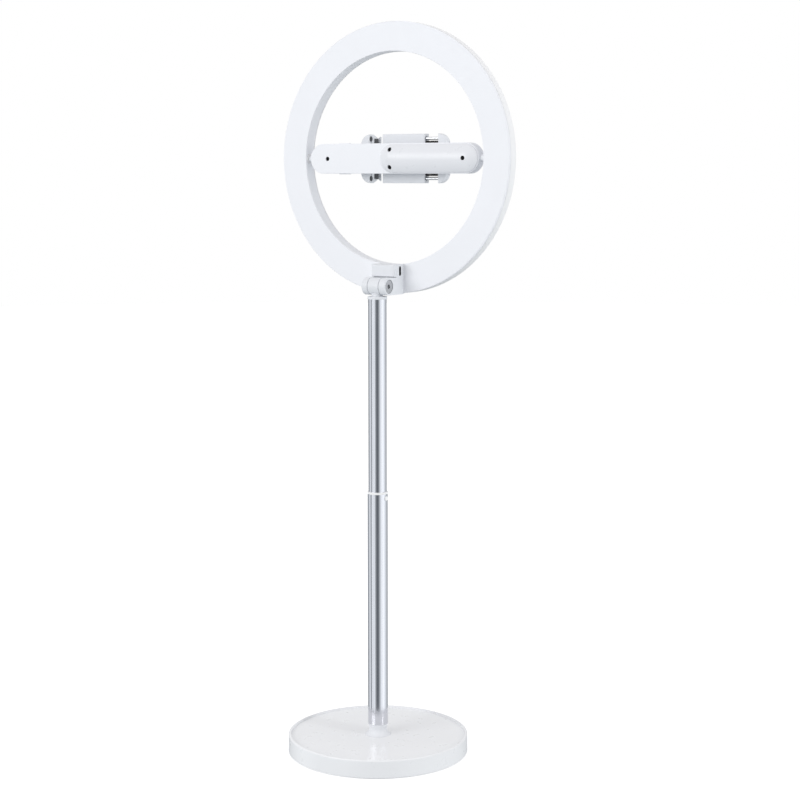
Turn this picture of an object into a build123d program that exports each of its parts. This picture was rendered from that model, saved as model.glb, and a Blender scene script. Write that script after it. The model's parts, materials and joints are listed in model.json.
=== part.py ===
from build123d import *
import os
from math import asin, atan2, cos, radians, sin, sqrt, tan

# Telescopic ring light on a weighted round base, in millimetres.
# +Z is up, the light shines towards -Y, and the origin is the centre of the base's underside.

# Fits
running_fit = 0.05          # radial clearance of a part that turns or slides in another
slip_fit = 0.15             # clearance all round a part that is dropped into a recess
body_gap = 0.3              # least gap between parts that move past each other
touch_gap = 0.1             # gap between parts that are drawn up against each other
past = 1.0                  # how far a cutting shape runs past the face it cuts
far = 200.0                 # longer than any cut needs
tiny = 1e-6                 # tolerance for picking edges by their place
hex_share = 1.4             # across flats of a screw's socket over the screw's radius
socket_depth = 0.6          # depth of a screw's socket over its head's thickness

# Base
base_r = 86.5
base_h = 17.7
base_wall = 2.4
rim_w = 2.6                 # width of the raised rim round the top
rim_drop = 2.0              # depth of the top surface below the rim
rim_round = 1.4
base_hub_r = 13.0
cover_lift = 1.0            # height of the cover's lower edge above the floor
pad_t = 2.0
weight_t = 7.0
weight_slack = 1.0          # gap between the weight and the cover's wall
weight_screw_count = 4
weight_screw_angle = 45.0
weight_screw_pcr = 62.0     # radius of the circle that the weight's screws stand on
weight_screw_r = 1.5
weight_screw_head_r = 3.0
weight_screw_head_t = 1.8
weight_boss_r = 4.0

# Pole
lower_tube_r = 9.6
lower_tube_wall = 0.45
lower_tube_bottom = 26.8
lower_tube_top = 251.9
upper_tube_wall = 0.6
upper_tube_top = 437.0
bush_wall = 0.4             # wall of the plastic sleeves between the two tubes
socket_flare = 3.0          # how far the socket's foot stands out from the tube
socket_waist = 0.7          # how far the socket's waist is set in from the tube
socket_waist_drop = 3.1     # depth of the waist below the tube's end
socket_curve_out = 0.9      # middle of the flare's curve, out from the waist
socket_curve_up = 2.2       # middle of the flare's curve, up from the base
socket_register = 2.3       # how far the socket's foot in the cover is set in from its spigot
spigot_h = 20.0
spigot_lead = 0.6
spigot_lead_h = 1.5
pole_bolt_r = 3.0
pole_bolt_head_r = 6.5
pole_bolt_head_t = 3.5
pole_bolt_grip = 22.0       # length of the bolt inside the socket
pole_bolt_hex_af = 5.0
collar_h = 2.0
collar_proud = 0.2
collar_skirt_h = 14.0
lug_r = 2.2
lug_drop = 4.0              # height of the tube's end above the lug's centre
lug_proud = 0.6
glide_h = 20.0              # length of the sleeve on the foot of the upper tube
glide_floor = 2.0

# Tilt hinge
barrel_r = 8.1
neck_gap = 1.3              # gap between the pole's cap and the fork's underside
slot_gap = 1.2              # gap round the knuckle in the fork
knuckle_w = 11.6
hinge_gap = 0.6             # gap between the knuckle and each ear, filled by a washer
washer_t = 0.5
washer_r = 6.4
bolt_ear_end = 13.4         # distance of the bolt-side ear's end face from the pole axis
nut_ear_end = 12.4          # distance of the nut-side ear's end face from the pole axis
neck_r = 5.3
cap_overhang = 0.45         # how far the pole's cap stands out from the upper tube
cap_h = 2.6
cap_round = 0.6
cap_spigot_h = 12.0
hinge_bolt_r = 2.5
hinge_head_r = 6.4
hinge_head_t = 3.0
hinge_head_sink = 0.5
hinge_head_round = 0.5
hinge_hex_af = 4.0          # across flats of the bolt's socket
hinge_nut_af = 8.0
hinge_nut_t = 3.2
nod_angle = 30.0            # how far the head nods forward, in degrees

# Ring
ring_back_y = -25.0
ring_foot_rise = 0.1        # height of the ring's lowest point above the fork's underside
ring_outer_r = 127.0
ring_inner_r = 99.5
ring_depth = 14.0
ring_plate = 1.8
ring_wall = 1.6
cover_round = 0.8
cover_inner_round = 0.5
cover_lip = 2.6             # depth of the rear cover's outer edge
seam = 0.3                  # gap along the line where cover and diffuser meet
diffuser_wall = 2.0
diffuser_front = 1.6
diffuser_edge_r = 2.6
diffuser_inner_round = 1.0
rib_gap = 0.2
rib_t = 1.2
rib_h = 2.4
tongue_t = 1.3
tongue_reach = 2.4
board_t = 1.2
board_from_wall = 9.5       # distance of the LED board's inner edge from the ring's inner wall
board_slack = 0.4
board_standoff = 1.5
board_screw_count = 6
board_screw_angle = 30.0
board_screw_r = 1.0
board_screw_head_r = 1.9
board_screw_head_t = 1.2
board_boss_r = 2.6
boss_floor = 0.6            # thickness left below a boss's hole
led_count = 40              # chips in each of the two rows
led_row_offset = 3.6        # distance of each row from the board's middle
led_radial = 2.8
led_tangential = 3.5
led_h = 0.8

# Port housing at the foot of the ring
housing_depth = 12.5        # depth of the upper block behind the ring, without its cap
housing_wall = 1.5
housing_cap_t = 4.0
housing_cap_gap = 0.4
cap_rim_t = 1.0
housing_round = 1.2
cavity_floor = 1.1          # wall between the cavity and the fork arms
cavity_roof = 0.9
cavity_back = 2.0           # wall between the cavity and the ring
housing_screw_r = 1.2
housing_screw_head_r = 2.2
housing_screw_head_t = 1.3
housing_screw_reach = 8.0
housing_screw_x = 9.0
housing_screw_rises = (6.8, 13.4)   # heights of the screws above the ring's lowest point
usb_w = 8.94
usb_h = 3.26
usb_shell = 0.3
usb_len = 7.3
usb_tongue_t = 0.7
usb_tongue_len = 4.5
usb_tongue_w = 6.7
usb_back_t = 1.0
usb_y_behind = 6.5          # distance of the socket's centre behind the ring
lead_r = 0.6
lead_spacing = 3.0
lead_x = 5.0                # distance of the supply wires from the light's middle plane

# Crossbar
bar_half_h = 14.2
bar_end_gap = 5.2           # gap between the bar's ends and the ring's inner wall
bar_nose_len = 14.3         # length of the bar's narrowing end
bar_nose_half_h = 3.4
bar_t = 10.6
bar_set_in = 0.7            # least distance of the bar's back below the ring's back plane
bar_wall = 1.6
bar_edge_round = 0.5
pin_shoulder_r = 3.2
pin_r = 2.7
pin_bore_r = 1.2
pin_hold = 10.3             # length of the pin that the bar's shells hold
pin_block_len = 3.0         # length of solid shell inwards of the pin
pin_block_half_h = 7.0
bush_r = 4.0
bush_flange_r = 4.8
bush_flange_t = 0.6
bush_len = 6.5
clip_t = 0.8
clip_r = 3.9
clip_groove = 0.5           # depth of the clip's groove in the pin
pin_end_past_clip = 0.6
pod_half_h = 13.3
pod_end_margin = 1.0        # gap between the pod's end and the bar's end
pod_column_r = 2.7
pod_edge = 1.2
pod_dome = 5.8
pod_wall = 1.6
screw_r = 0.9
screw_head_r = 1.95
screw_head_t = 1.0
screw_sink = 0.7
screw_socket_r = 0.8
screw_column_r = 2.6
pod_screw_x = 0.0
pod_screw_dz = 8.2
pod_far_screw_out = 1.0     # distance of the far screw outwards of the pod's end centre
bar_screw_from_tip = 19.6
key_from_tip = 36.7
key_len = 11.4
key_w = 3.8
key_proud = 0.6
key_round = 0.35
key_flange = 0.6
key_depth = 2.3
key_travel = 0.4
key_board_len = 28.0
key_board_half_h = 9.0
key_board_t = 1.2
switch_len = 4.5
switch_w = 3.2
control_lead_r = 0.9
control_lead_dz = -5.0      # height of the lead's start from the pivot axis
control_lead_bend_r = 2.0
control_lead_clear = 0.9    # clear distance of the lead past the screw's column
control_lead_run_in = 2.5   # straight run of the lead before the pin

# Phone clamp
clamp_back = 20.0           # distance of the clamp's back in front of the ring's back plane
phone_back = 28.0           # distance of the phone's back in front of the ring's back plane
clamp_half_w = 24.0
clamp_half_h = 23.2
clamp_wall = 2.0
clamp_rib = 4.0
clamp_plate_t = 1.6
clamp_pad_t = 0.8
clamp_pad_margin = 3.0
clamp_corner = 1.0
hub_r = 9.0
swivel_r = 3.0
swivel_boss_r = 6.0
swivel_boss_h = 4.1
swivel_washer_t = 0.6
swivel_washer_r = 8.5
swivel_nut_af = 9.0
swivel_nut_t = 3.0
swivel_spring_t = 0.9
swivel_spring_r = 5.4
swivel_head_r = 5.5
swivel_head_t = 2.4
swivel_end_past_nut = 0.5   # how far the bolt's end stands out of the nut
phone_w = 77.6              # width that the jaws stand open at rest
jaw_w = 11.0
jaw_corner = 10.5
jaw_depth = 18.4
jaw_lip = 1.8
jaw_lip_t = 1.6
jaw_lip_root_t = 2.0
jaw_tip_flat = 0.2
jaw_chamfer = 1.7
jaw_shoulder_in = 1.0       # how far the jaw's side is set in at its shoulder
jaw_shoulder_d = 6.0
jaw_cheek_in = 4.9          # how far the jaw's side is set in at its cheek
jaw_cheek_d = 12.0
jaw_grip_set_in = 0.2       # step of the grip behind the phone's back
jaw_pad_t = 1.0
jaw_pad_margin = 3.9        # distance of the rubber strip's ends from the jaw's ends
jaw_pad_end_gap = 0.4
arm_half_h = 11.0
arm_step = 0.6
rod_r = 1.4
rod_z = 18.8
rod_root = 4.5              # length of the rod inside the jaw
rod_recess_r = 2.4
rod_recess_d = 1.0
rod_hole_r = 2.7
rod_hole_d = 5.0
plug_set_in = 0.4           # depth of a plug's face below the jaw's inner face
spring_z = 15.2
spring_r = 1.5
spring_wire = 0.4
spring_root = 3.0
spring_hook_r = 0.8         # radius of the hole that a spring's hook is fixed in

# Worked out from the values above
hinge_z = upper_tube_top + cap_h + neck_gap + barrel_r
ring_over_fork = hinge_z - barrel_r + ring_foot_rise + ring_outer_r
socket_room = cavity_floor + usb_w + slip_fit * 2 + cavity_roof
ring_over_socket = hinge_z + barrel_r + socket_room + ring_inner_r
ring_z = max(ring_over_fork, ring_over_socket)
board_inner_r = ring_inner_r + board_from_wall
board_outer_r = ring_outer_r - diffuser_wall - touch_gap - tongue_t - board_slack
board_screw_pcr = (board_inner_r + board_outer_r) / 2
bar_tip = ring_inner_r - bar_end_gap
bar_straight = bar_tip - bar_nose_len
pin_root = bar_tip - pin_hold
pod_far_x = pod_end_margin + pod_half_h - bar_tip
pod_far_screw_x = pod_far_x - pod_far_screw_out
bar_screw_x = bar_tip - bar_screw_from_tip
key_x = bar_tip - key_from_tip
upper_tube_r = lower_tube_r - lower_tube_wall - bush_wall - running_fit
cap_r = upper_tube_r + cap_overhang
base_top = base_h - rim_drop
spigot_r = lower_tube_r - lower_tube_wall
register_r = spigot_r - socket_register
weight_top = pad_t + weight_t
glide_top = lower_tube_top - collar_skirt_h - body_gap
glide_bottom = glide_top - glide_h
upper_tube_bottom = glide_bottom + glide_floor
ear_inner = knuckle_w / 2 + hinge_gap
board_back = ring_plate + board_standoff
board_front = board_back + board_t
pivot_depth = max(bar_set_in + bar_t / 2, ring_plate + bush_r + touch_gap)
pivot_y = ring_back_y - pivot_depth
bar_back_y = pivot_y + bar_t / 2
bar_front_y = bar_back_y - bar_t
boss_top_y = bar_front_y + bar_wall + swivel_boss_h
nut_front_y = boss_top_y + touch_gap + swivel_spring_t
clip_start = ring_inner_r + bush_len + touch_gap
clamp_back_y = ring_back_y - clamp_back
plate_front_y = ring_back_y - phone_back + clamp_pad_t
rod_y = (clamp_back_y + plate_front_y + clamp_plate_t) / 2
usb_z = hinge_z + barrel_r + cavity_floor + usb_w / 2 + slip_fit


def turned(points):
    """Solid of revolution about Z, from (radius, height) points."""
    return revolve(Plane.XZ * make_face(Polyline(*points, close=True)), Axis.Z)


def rod(radius, start, end):
    """Round bar along Z between two heights."""
    return Pos(0, 0, start) * Cylinder(radius, end - start, align=(Align.CENTER, Align.CENTER, Align.MIN))


def sleeve(outer, inner, start, end):
    """Round tube along Z between two heights."""
    return rod(outer, start, end) - rod(inner, start - 1, end + 1)


def hexagon(across_flats, start, end):
    """Hexagonal bar along Z between two heights."""
    sketch = RegularPolygon(across_flats / 2, 6, major_radius=False)
    return Pos(0, 0, start) * extrude(sketch, end - start)


def block(x0, x1, y0, y1, z0, z1):
    """Box between two corners."""
    centre = Pos((x0 + x1) / 2, (y0 + y1) / 2, (z0 + z1) / 2)
    return centre * Box(abs(x1 - x0), abs(y1 - y0), abs(z1 - z0))


def around(count, radius, start_angle=0.0):
    """Places evenly spaced on a circle about Z."""
    for index in range(count):
        angle = start_angle + 360 * index / count
        yield Rot(0, 0, angle) * Pos(radius, 0, 0)


def along_x(shape):
    """Turns a shape made along Z so that it lies along X."""
    return Rot(0, 90, 0) * shape


def on_hinge(shape):
    """Puts a shape made along Z on the tilt hinge's axis, +Z becoming +X."""
    return Pos(0, 0, hinge_z) * along_x(shape)


def on_ring(shape):
    """Puts a shape made along Z on the ring's axis, with height as depth in front of the back plane."""
    return Pos(0, ring_back_y, ring_z) * Rot(90, 0, 0) * shape


def on_pivot(shape, side):
    """Puts a shape made along Z on the crossbar's pivot axis, pointing to the +X or -X side."""
    return Pos(0, pivot_y, ring_z) * Rot(0, 90 * side, 0) * shape


def rounded_edges(shape, radius, keep):
    """Fillets the edges of a solid that the test picks."""
    return fillet([edge for edge in shape.edges() if keep(edge)], radius)


def circle_at(radius, height):
    """Test that picks the circular edge of a turned solid with this radius at this height."""
    def keep(edge):
        if edge.geom_type != GeomType.CIRCLE:
            return False
        return abs(edge.radius - radius) < tiny and abs(edge.center().Z - height) < tiny
    return keep


# ---------------------------------------------------------------- base and lower pole

def weight_screw_places():
    return around(weight_screw_count, weight_screw_pcr, weight_screw_angle)


def base_cover():
    """Moulded cover with a raised rim, an inner hub and bosses for the weight's screws."""
    inner_r = base_r - base_wall
    ceiling = base_top - base_wall
    body = turned([
        (base_r, cover_lift), (base_r, base_h), (base_r - rim_w, base_h), (base_r - rim_w, base_top),
        (0, base_top), (0, ceiling), (inner_r, ceiling), (inner_r, cover_lift)])
    body = rounded_edges(body, rim_round, circle_at(base_r, base_h))
    body += rod(base_hub_r, weight_top, ceiling)
    for place in weight_screw_places():
        body += place * rod(weight_boss_r, weight_top, ceiling)
        body -= place * rod(weight_screw_r, weight_top - past, ceiling)
    body -= rod(register_r + slip_fit, ceiling, base_top + past)
    return body - rod(pole_bolt_r + slip_fit, weight_top - past, base_top)


def weight_plate():
    """Steel disc with a counterbore for the pole bolt and sunk holes for its screws."""
    disc = rod(base_r - base_wall - weight_slack, pad_t, weight_top)
    disc -= rod(pole_bolt_r + slip_fit, 0, weight_top + past)
    disc -= rod(pole_bolt_head_r + slip_fit * 2, 0, pad_t + pole_bolt_head_t + slip_fit)
    for place in weight_screw_places():
        disc -= place * rod(weight_screw_r + slip_fit, 0, weight_top + past)
        disc -= place * rod(weight_screw_head_r + slip_fit, 0, pad_t + weight_screw_head_t + slip_fit)
    return disc


def weight_screws():
    """Screws that hold the weight to the cover's bosses."""
    head_top = pad_t + weight_screw_head_t + slip_fit
    one = rod(weight_screw_head_r, head_top - weight_screw_head_t, head_top)
    one += rod(weight_screw_r, head_top, base_top - base_wall - slip_fit)
    one -= hexagon(weight_screw_r * hex_share, 0, head_top - weight_screw_head_t * (1 - socket_depth))
    return Compound([place * one for place in weight_screw_places()])


def base_pad():
    """Rubber mat under the weight."""
    return rod(base_r - base_wall - slip_fit, 0, pad_t)


def pole_socket():
    """Flared foot of the pole, with a spigot inside the tube and a register in the cover."""
    waist_r = lower_tube_r - socket_waist
    waist_z = lower_tube_bottom - socket_waist_drop
    with BuildSketch(Plane.XZ) as profile:
        with BuildLine():
            top = Line((spigot_r, lower_tube_bottom), (lower_tube_r, lower_tube_bottom))
            neck = Line(top @ 1, (waist_r, waist_z))
            foot = ThreePointArc(
                neck @ 1, (waist_r + socket_curve_out, base_top + socket_curve_up),
                (lower_tube_r + socket_flare, base_top))
            Polyline(
                foot @ 1, (register_r, base_top), (register_r, base_top - base_wall),
                (0, base_top - base_wall), (0, lower_tube_bottom + spigot_h),
                (spigot_r - spigot_lead, lower_tube_bottom + spigot_h),
                (spigot_r, lower_tube_bottom + spigot_h - spigot_lead_h), (spigot_r, lower_tube_bottom))
        make_face()
    body = revolve(profile.sketch, Axis.Z)
    return body - rod(pole_bolt_r, base_top - base_wall - past, base_top - base_wall + pole_bolt_grip)


def pole_bolt():
    """Bolt that clamps the socket, the cover and the weight together."""
    head_top = pad_t + pole_bolt_head_t + slip_fit
    body = rod(pole_bolt_head_r, head_top - pole_bolt_head_t, head_top)
    body += rod(pole_bolt_r, head_top, base_top - base_wall + pole_bolt_grip - body_gap)
    return body - hexagon(pole_bolt_hex_af, 0, head_top - pole_bolt_head_t * (1 - socket_depth))


def lower_tube():
    """Outer tube of the pole, with a hole for the collar's snap lug."""
    body = sleeve(lower_tube_r, lower_tube_r - lower_tube_wall, lower_tube_bottom, lower_tube_top)
    lug_hole = Pos(0, 0, lower_tube_top - lug_drop) * along_x(rod(lug_r, -lower_tube_r - past, 0))
    return body - lug_hole


def pole_collar():
    """Plastic guide bush in the mouth of the lower tube, held by its lug."""
    bore = upper_tube_r + running_fit
    outer = lower_tube_r - lower_tube_wall
    body = sleeve(outer, bore, lower_tube_top - collar_skirt_h, lower_tube_top)
    body += sleeve(lower_tube_r + collar_proud, bore, lower_tube_top, lower_tube_top + collar_h)
    lug = along_x(rod(lug_r, -lower_tube_r - lug_proud, -outer + touch_gap))
    lug = Pos(0, 0, lower_tube_top - lug_drop) * lug
    return body + (lug - rod(bore, 0, lower_tube_top))


# ---------------------------------------------------------------- upper pole

def glide_bush():
    """Cup that slides in the lower tube and that the upper tube turns in."""
    outer = lower_tube_r - lower_tube_wall - running_fit
    body = sleeve(outer, upper_tube_r + running_fit, upper_tube_bottom, glide_top)
    return body + rod(outer, glide_bottom, upper_tube_bottom)


def upper_tube():
    """Inner tube of the pole."""
    start = upper_tube_bottom + running_fit
    return sleeve(upper_tube_r, upper_tube_r - upper_tube_wall, start, upper_tube_top)


def hinge_knuckle():
    """Cap of the upper tube, with a neck and the middle knuckle of the tilt hinge."""
    body = rod(upper_tube_r - upper_tube_wall, upper_tube_top - cap_spigot_h, upper_tube_top)
    cap = rod(cap_r, upper_tube_top, upper_tube_top + cap_h)
    cap = rounded_edges(cap, cap_round, lambda e: e.center().Z > upper_tube_top + cap_h / 2)
    body += cap + rod(neck_r, upper_tube_top + cap_h, hinge_z)
    body += on_hinge(rod(barrel_r, -knuckle_w / 2, knuckle_w / 2))
    return body - on_hinge(rod(hinge_bolt_r + running_fit, -knuckle_w, knuckle_w))


# ---------------------------------------------------------------- hinge hardware

def hinge_bolt():
    """Socket head bolt through the ears and the knuckle, with its head on the -X side."""
    head_face = -bolt_ear_end + hinge_head_sink
    head = rod(hinge_head_r, head_face, head_face + hinge_head_t)
    head = rounded_edges(head, hinge_head_round, lambda e: e.center().Z < head_face + hinge_head_t / 2)
    body = head + rod(hinge_bolt_r, head_face + hinge_head_t, nut_ear_end - hinge_head_sink)
    return on_hinge(body - hexagon(hinge_hex_af, head_face - past, head_face + hinge_head_t * socket_depth))


def nut_floor():
    return nut_ear_end - hinge_nut_t - hinge_head_sink


def hinge_nut():
    """Hexagon nut in the pocket of the +X ear."""
    body = hexagon(hinge_nut_af, nut_floor(), nut_floor() + hinge_nut_t)
    return on_hinge(body - rod(hinge_bolt_r, 0, nut_ear_end + past))


def hinge_washers():
    """Friction washers between the knuckle and the ears."""
    slack = (hinge_gap - washer_t) / 2
    inner = hinge_bolt_r + slip_fit
    start = knuckle_w / 2 + slack
    right = sleeve(washer_r, inner, start, start + washer_t)
    left = sleeve(washer_r, inner, -start - washer_t, -start)
    return Compound([on_hinge(right), on_hinge(left)])


# ---------------------------------------------------------------- ring and port housing

def housing_outline(y_start, y_end, z_start, z_end):
    """Box as wide as the housing, with its top cut to the ring's inner curve."""
    body = block(-bolt_ear_end, nut_ear_end, y_start, y_end, z_start, z_end)
    return body - Pos(0, 0, ring_z) * Rot(90, 0, 0) * Cylinder(ring_inner_r, far)


def housing_top():
    """Height above every point of the housing's curved top."""
    return ring_z - sqrt(ring_inner_r ** 2 - bolt_ear_end ** 2) + past


def cavity(slack):
    """Space for the socket and its board, smaller all round by the slack."""
    return block(
        -bolt_ear_end + housing_wall + slack, nut_ear_end - housing_wall - slack,
        ring_back_y + cavity_back, ring_back_y + housing_depth,
        hinge_z + barrel_r + cavity_floor + slack, ring_z - ring_inner_r - cavity_roof - slack)


def nod_pocket():
    """Room under the fork for the pole's cap and tube when the head nods forward."""
    half_w = cap_r + body_gap
    nod = radians(nod_angle)
    down = (barrel_r + half_w * sin(nod)) / cos(nod)
    reach = sqrt(down ** 2 + half_w ** 2)
    corner = atan2(half_w, barrel_r + neck_gap - body_gap)
    slope = tan(radians(90) - nod - corner)
    with BuildSketch(Plane.YZ) as sector:
        with BuildLine():
            Polyline((0, 0), (0, -far), (-far, -far), (-far, -far * slope), close=True)
        make_face()
    wedge = extrude(sector.sketch, half_w, both=True)
    ring = along_x(sleeve(reach, barrel_r, -half_w, half_w))
    return Pos(0, 0, hinge_z) * (wedge & ring)


def port_housing():
    """Block behind the ring's foot, ending in the two ears of the tilt hinge."""
    arms = block(-bolt_ear_end, nut_ear_end, ring_back_y, 0, hinge_z - barrel_r, hinge_z + barrel_r)
    arms += on_hinge(rod(barrel_r, -bolt_ear_end, nut_ear_end))
    body = arms + housing_outline(
        ring_back_y, ring_back_y + housing_depth, hinge_z, housing_top())
    slot_r = barrel_r + slot_gap
    slot = on_hinge(rod(slot_r, -ear_inner, ear_inner))
    slot += block(-ear_inner, ear_inner, -slot_r, slot_r, hinge_z - slot_r, hinge_z)
    slot += block(-ear_inner, ear_inner, 0, slot_r, hinge_z, hinge_z + slot_r)
    body -= slot
    body -= nod_pocket()
    body -= cavity(0)
    body -= on_hinge(rod(hinge_bolt_r + slip_fit, -bolt_ear_end - past, nut_ear_end + past))
    counterbore = rod(hinge_head_r + slip_fit, -bolt_ear_end - past,
                      -bolt_ear_end + hinge_head_sink + hinge_head_t)
    body -= on_hinge(counterbore)
    body -= on_hinge(hexagon(hinge_nut_af + slip_fit * 2, nut_floor(), nut_ear_end + past))
    body -= usb_envelope(slip_fit)
    for lead in lead_lines(lead_r + slip_fit * 2, ring_back_y - past, ring_back_y + cavity_back + past):
        body -= lead
    for screw in housing_screw_places():
        body -= screw * rod(housing_screw_r, -housing_screw_reach - body_gap, past)
    return body


def housing_cap():
    """Rear lid of the housing's cavity, located by a rim."""
    start = ring_back_y + housing_depth
    lid = housing_outline(start, start + housing_cap_t, hinge_z + barrel_r + housing_cap_gap, housing_top())
    rear_face = start + housing_cap_t
    lid = rounded_edges(lid, housing_round, lambda e: e.center().Y > rear_face - touch_gap)
    rim = cavity(slip_fit) - cavity(slip_fit + housing_wall)
    rim &= block(-far, far, start - cap_rim_t, start, hinge_z, ring_z)
    rim -= usb_envelope(past)
    return lid + rim


def usb_envelope(slack):
    """Rounded bar of the socket's outline, reaching out through the housing's side."""
    outline = Pos(ring_back_y + usb_y_behind, usb_z) * SlotOverall(
        usb_w + 2 * slack, usb_h + 2 * slack, rotation=90)
    sketch = Plane.YZ * outline
    return Pos(-bolt_ear_end, 0, 0) * extrude(sketch, usb_len + slack) + Pos(
        -bolt_ear_end, 0, 0) * extrude(sketch, -past)


def usb_c_socket():
    """USB-C socket: a drawn metal shell with its contact tongue."""
    def bar(w, h, length):
        outline = Pos(ring_back_y + usb_y_behind, usb_z) * SlotOverall(w, h, rotation=90)
        return extrude(Plane.YZ * outline, length)
    inner_w = usb_w - 2 * usb_shell
    inner_h = usb_h - 2 * usb_shell
    inner_end = usb_len - usb_back_t
    shell = bar(usb_w, usb_h, usb_len) - bar(inner_w, inner_h, inner_end)
    y_mid = ring_back_y + usb_y_behind
    tongue = block(
        inner_end - usb_tongue_len, inner_end, y_mid - usb_tongue_t / 2, y_mid + usb_tongue_t / 2,
        usb_z - usb_tongue_w / 2, usb_z + usb_tongue_w / 2)
    return Pos(-bolt_ear_end, 0, 0) * (shell + tongue)


def port_board():
    """Driver board that carries the socket."""
    front = ring_back_y + usb_y_behind - usb_h / 2
    body = cavity(slip_fit) & block(-far, far, front - board_t, front, hinge_z, ring_z)
    for lead in lead_lines(lead_r, front - board_t - past, front + past):
        body -= lead
    return body


def lead_lines(radius, y_start, y_end):
    """Two round bars along Y where the ring's supply wires run."""
    for side in (-1, 1):
        place = Pos(side * lead_spacing / 2 + lead_x, y_end, usb_z) * Rot(90, 0, 0)
        yield place * rod(radius, 0, y_end - y_start)


def led_leads():
    """Supply wires from the driver board through the rear cover into the ring."""
    board_face = ring_back_y + usb_y_behind - usb_h / 2
    return Compound(list(lead_lines(lead_r, ring_back_y - board_back, board_face)))


def housing_screw_places():
    """Places on the ring's back plane, with +Z pointing to the front of the light."""
    for side in (-1, 1):
        for rise in housing_screw_rises:
            yield Pos(side * housing_screw_x, ring_back_y, ring_z - ring_outer_r + rise) * Rot(90, 0, 0)


def housing_screws():
    """Screws from inside the ring into the port housing."""
    one = rod(housing_screw_r, -housing_screw_reach, ring_plate)
    one += rod(housing_screw_head_r, ring_plate, ring_plate + housing_screw_head_t)
    one -= hexagon(housing_screw_r * hex_share, ring_plate + housing_screw_head_t * (1 - socket_depth), far)
    return Compound([place * one for place in housing_screw_places()])


def board_screw_places():
    return around(board_screw_count, board_screw_pcr, board_screw_angle)


def rear_cover():
    """Flat annular back of the ring, with its inner wall, outer lip and light-tight tongue."""
    wall_front = ring_depth - diffuser_front - seam
    lip_inner = ring_outer_r - diffuser_wall
    tongue_outer = lip_inner - touch_gap
    tongue_inner = tongue_outer - tongue_t
    profile = [
        (ring_inner_r, 0), (ring_outer_r, 0), (ring_outer_r, cover_lip), (lip_inner, cover_lip),
        (tongue_outer, cover_lip), (tongue_outer, cover_lip + tongue_reach),
        (tongue_inner, cover_lip + tongue_reach), (tongue_inner, ring_plate),
        (ring_inner_r + ring_wall, ring_plate), (ring_inner_r + ring_wall, wall_front),
        (ring_inner_r, wall_front)]
    body = turned(profile)
    body = rounded_edges(body, cover_round, circle_at(ring_outer_r, 0))
    body = rounded_edges(body, cover_inner_round, circle_at(ring_inner_r, 0))
    for place in board_screw_places():
        body += place * rod(board_boss_r, ring_plate, board_back)
        body -= place * rod(board_screw_r, boss_floor, board_back + past)
    body = on_ring(body)
    for side in (-1, 1):
        body -= on_pivot(rod(bush_r, ring_inner_r - past, ring_inner_r + ring_wall + past), side)
    for screw in housing_screw_places():
        body -= screw * rod(housing_screw_r + slip_fit, -past, ring_plate + past)
    for lead in lead_lines(lead_r + slip_fit * 2, ring_back_y - ring_plate - past, ring_back_y + past):
        body -= lead
    return body


def led_board():
    """Annular board that carries the LEDs."""
    body = sleeve(board_outer_r, board_inner_r, board_back, board_front)
    for place in board_screw_places():
        body -= place * rod(board_screw_r + slip_fit, 0, board_front + past)
    return on_ring(body)


def led_chips():
    """Two rows of LED chips on the front of the board."""
    chip = Pos(0, 0, board_front + led_h / 2) * Box(led_radial, led_tangential, led_h)
    places = list(around(led_count, board_screw_pcr - led_row_offset))
    places += around(led_count, board_screw_pcr + led_row_offset, 180 / led_count)
    return Compound([on_ring(place * chip) for place in places])


def led_board_screws():
    """Screws that hold the LED board to the rear cover."""
    one = rod(board_screw_r, boss_floor + body_gap, board_front)
    one += rod(board_screw_head_r, board_front, board_front + board_screw_head_t)
    one -= hexagon(board_screw_r * hex_share, board_front + board_screw_head_t * (1 - socket_depth), far)
    return Compound([on_ring(place * one) for place in board_screw_places()])


def diffuser():
    """Opal front of the ring, which wraps round its outer wall."""
    inner_face = ring_depth - diffuser_front
    rib_inner = ring_inner_r + ring_wall + rib_gap
    rib_outer = rib_inner + rib_t
    rib_face = inner_face - rib_h
    wall_inner = ring_outer_r - diffuser_wall
    wall_start = cover_lip + seam
    body = turned([
        (ring_inner_r, inner_face), (rib_inner, inner_face), (rib_inner, rib_face),
        (rib_outer, rib_face), (rib_outer, inner_face), (wall_inner, inner_face),
        (wall_inner, wall_start), (ring_outer_r, wall_start), (ring_outer_r, ring_depth),
        (ring_inner_r, ring_depth)])
    body = rounded_edges(body, diffuser_edge_r, circle_at(ring_outer_r, ring_depth))
    return on_ring(rounded_edges(body, diffuser_inner_round, circle_at(ring_inner_r, ring_depth)))


def pivot_bushes():
    """Plastic bushes in the ring's inner wall that the crossbar's pins turn in."""
    flange_end = sqrt(ring_inner_r ** 2 - bush_flange_r ** 2)
    one = rod(bush_flange_r, flange_end - bush_flange_t, flange_end)
    one += rod(bush_r, flange_end, ring_inner_r + bush_len)
    one -= rod(pin_r + running_fit, 0, ring_outer_r)
    return Compound([on_pivot(one, side) for side in (-1, 1)])


# ---------------------------------------------------------------- crossbar

def bar_sketch(inset):
    """Outline of the bar seen along Y, smaller all round by the inset; X is X and Y is height."""
    half_h = bar_half_h - inset
    tip = bar_tip - inset
    nose = bar_nose_half_h - inset
    round_x = half_h - tip
    with BuildSketch() as outline:
        with BuildLine():
            top = Line((round_x, half_h), (bar_straight, half_h))
            upper = TangentArc(top @ 1, (tip, nose), tangent=(1, 0))
            flat = Line(upper @ 1, (tip, -nose))
            lower = TangentArc((bar_straight, -half_h), flat @ 1, tangent=(1, 0))
            bottom = Line(lower @ 0, (round_x, -half_h))
            ThreePointArc(bottom @ 1, (-tip, 0), top @ 0)
        make_face()
    return outline.sketch


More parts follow.
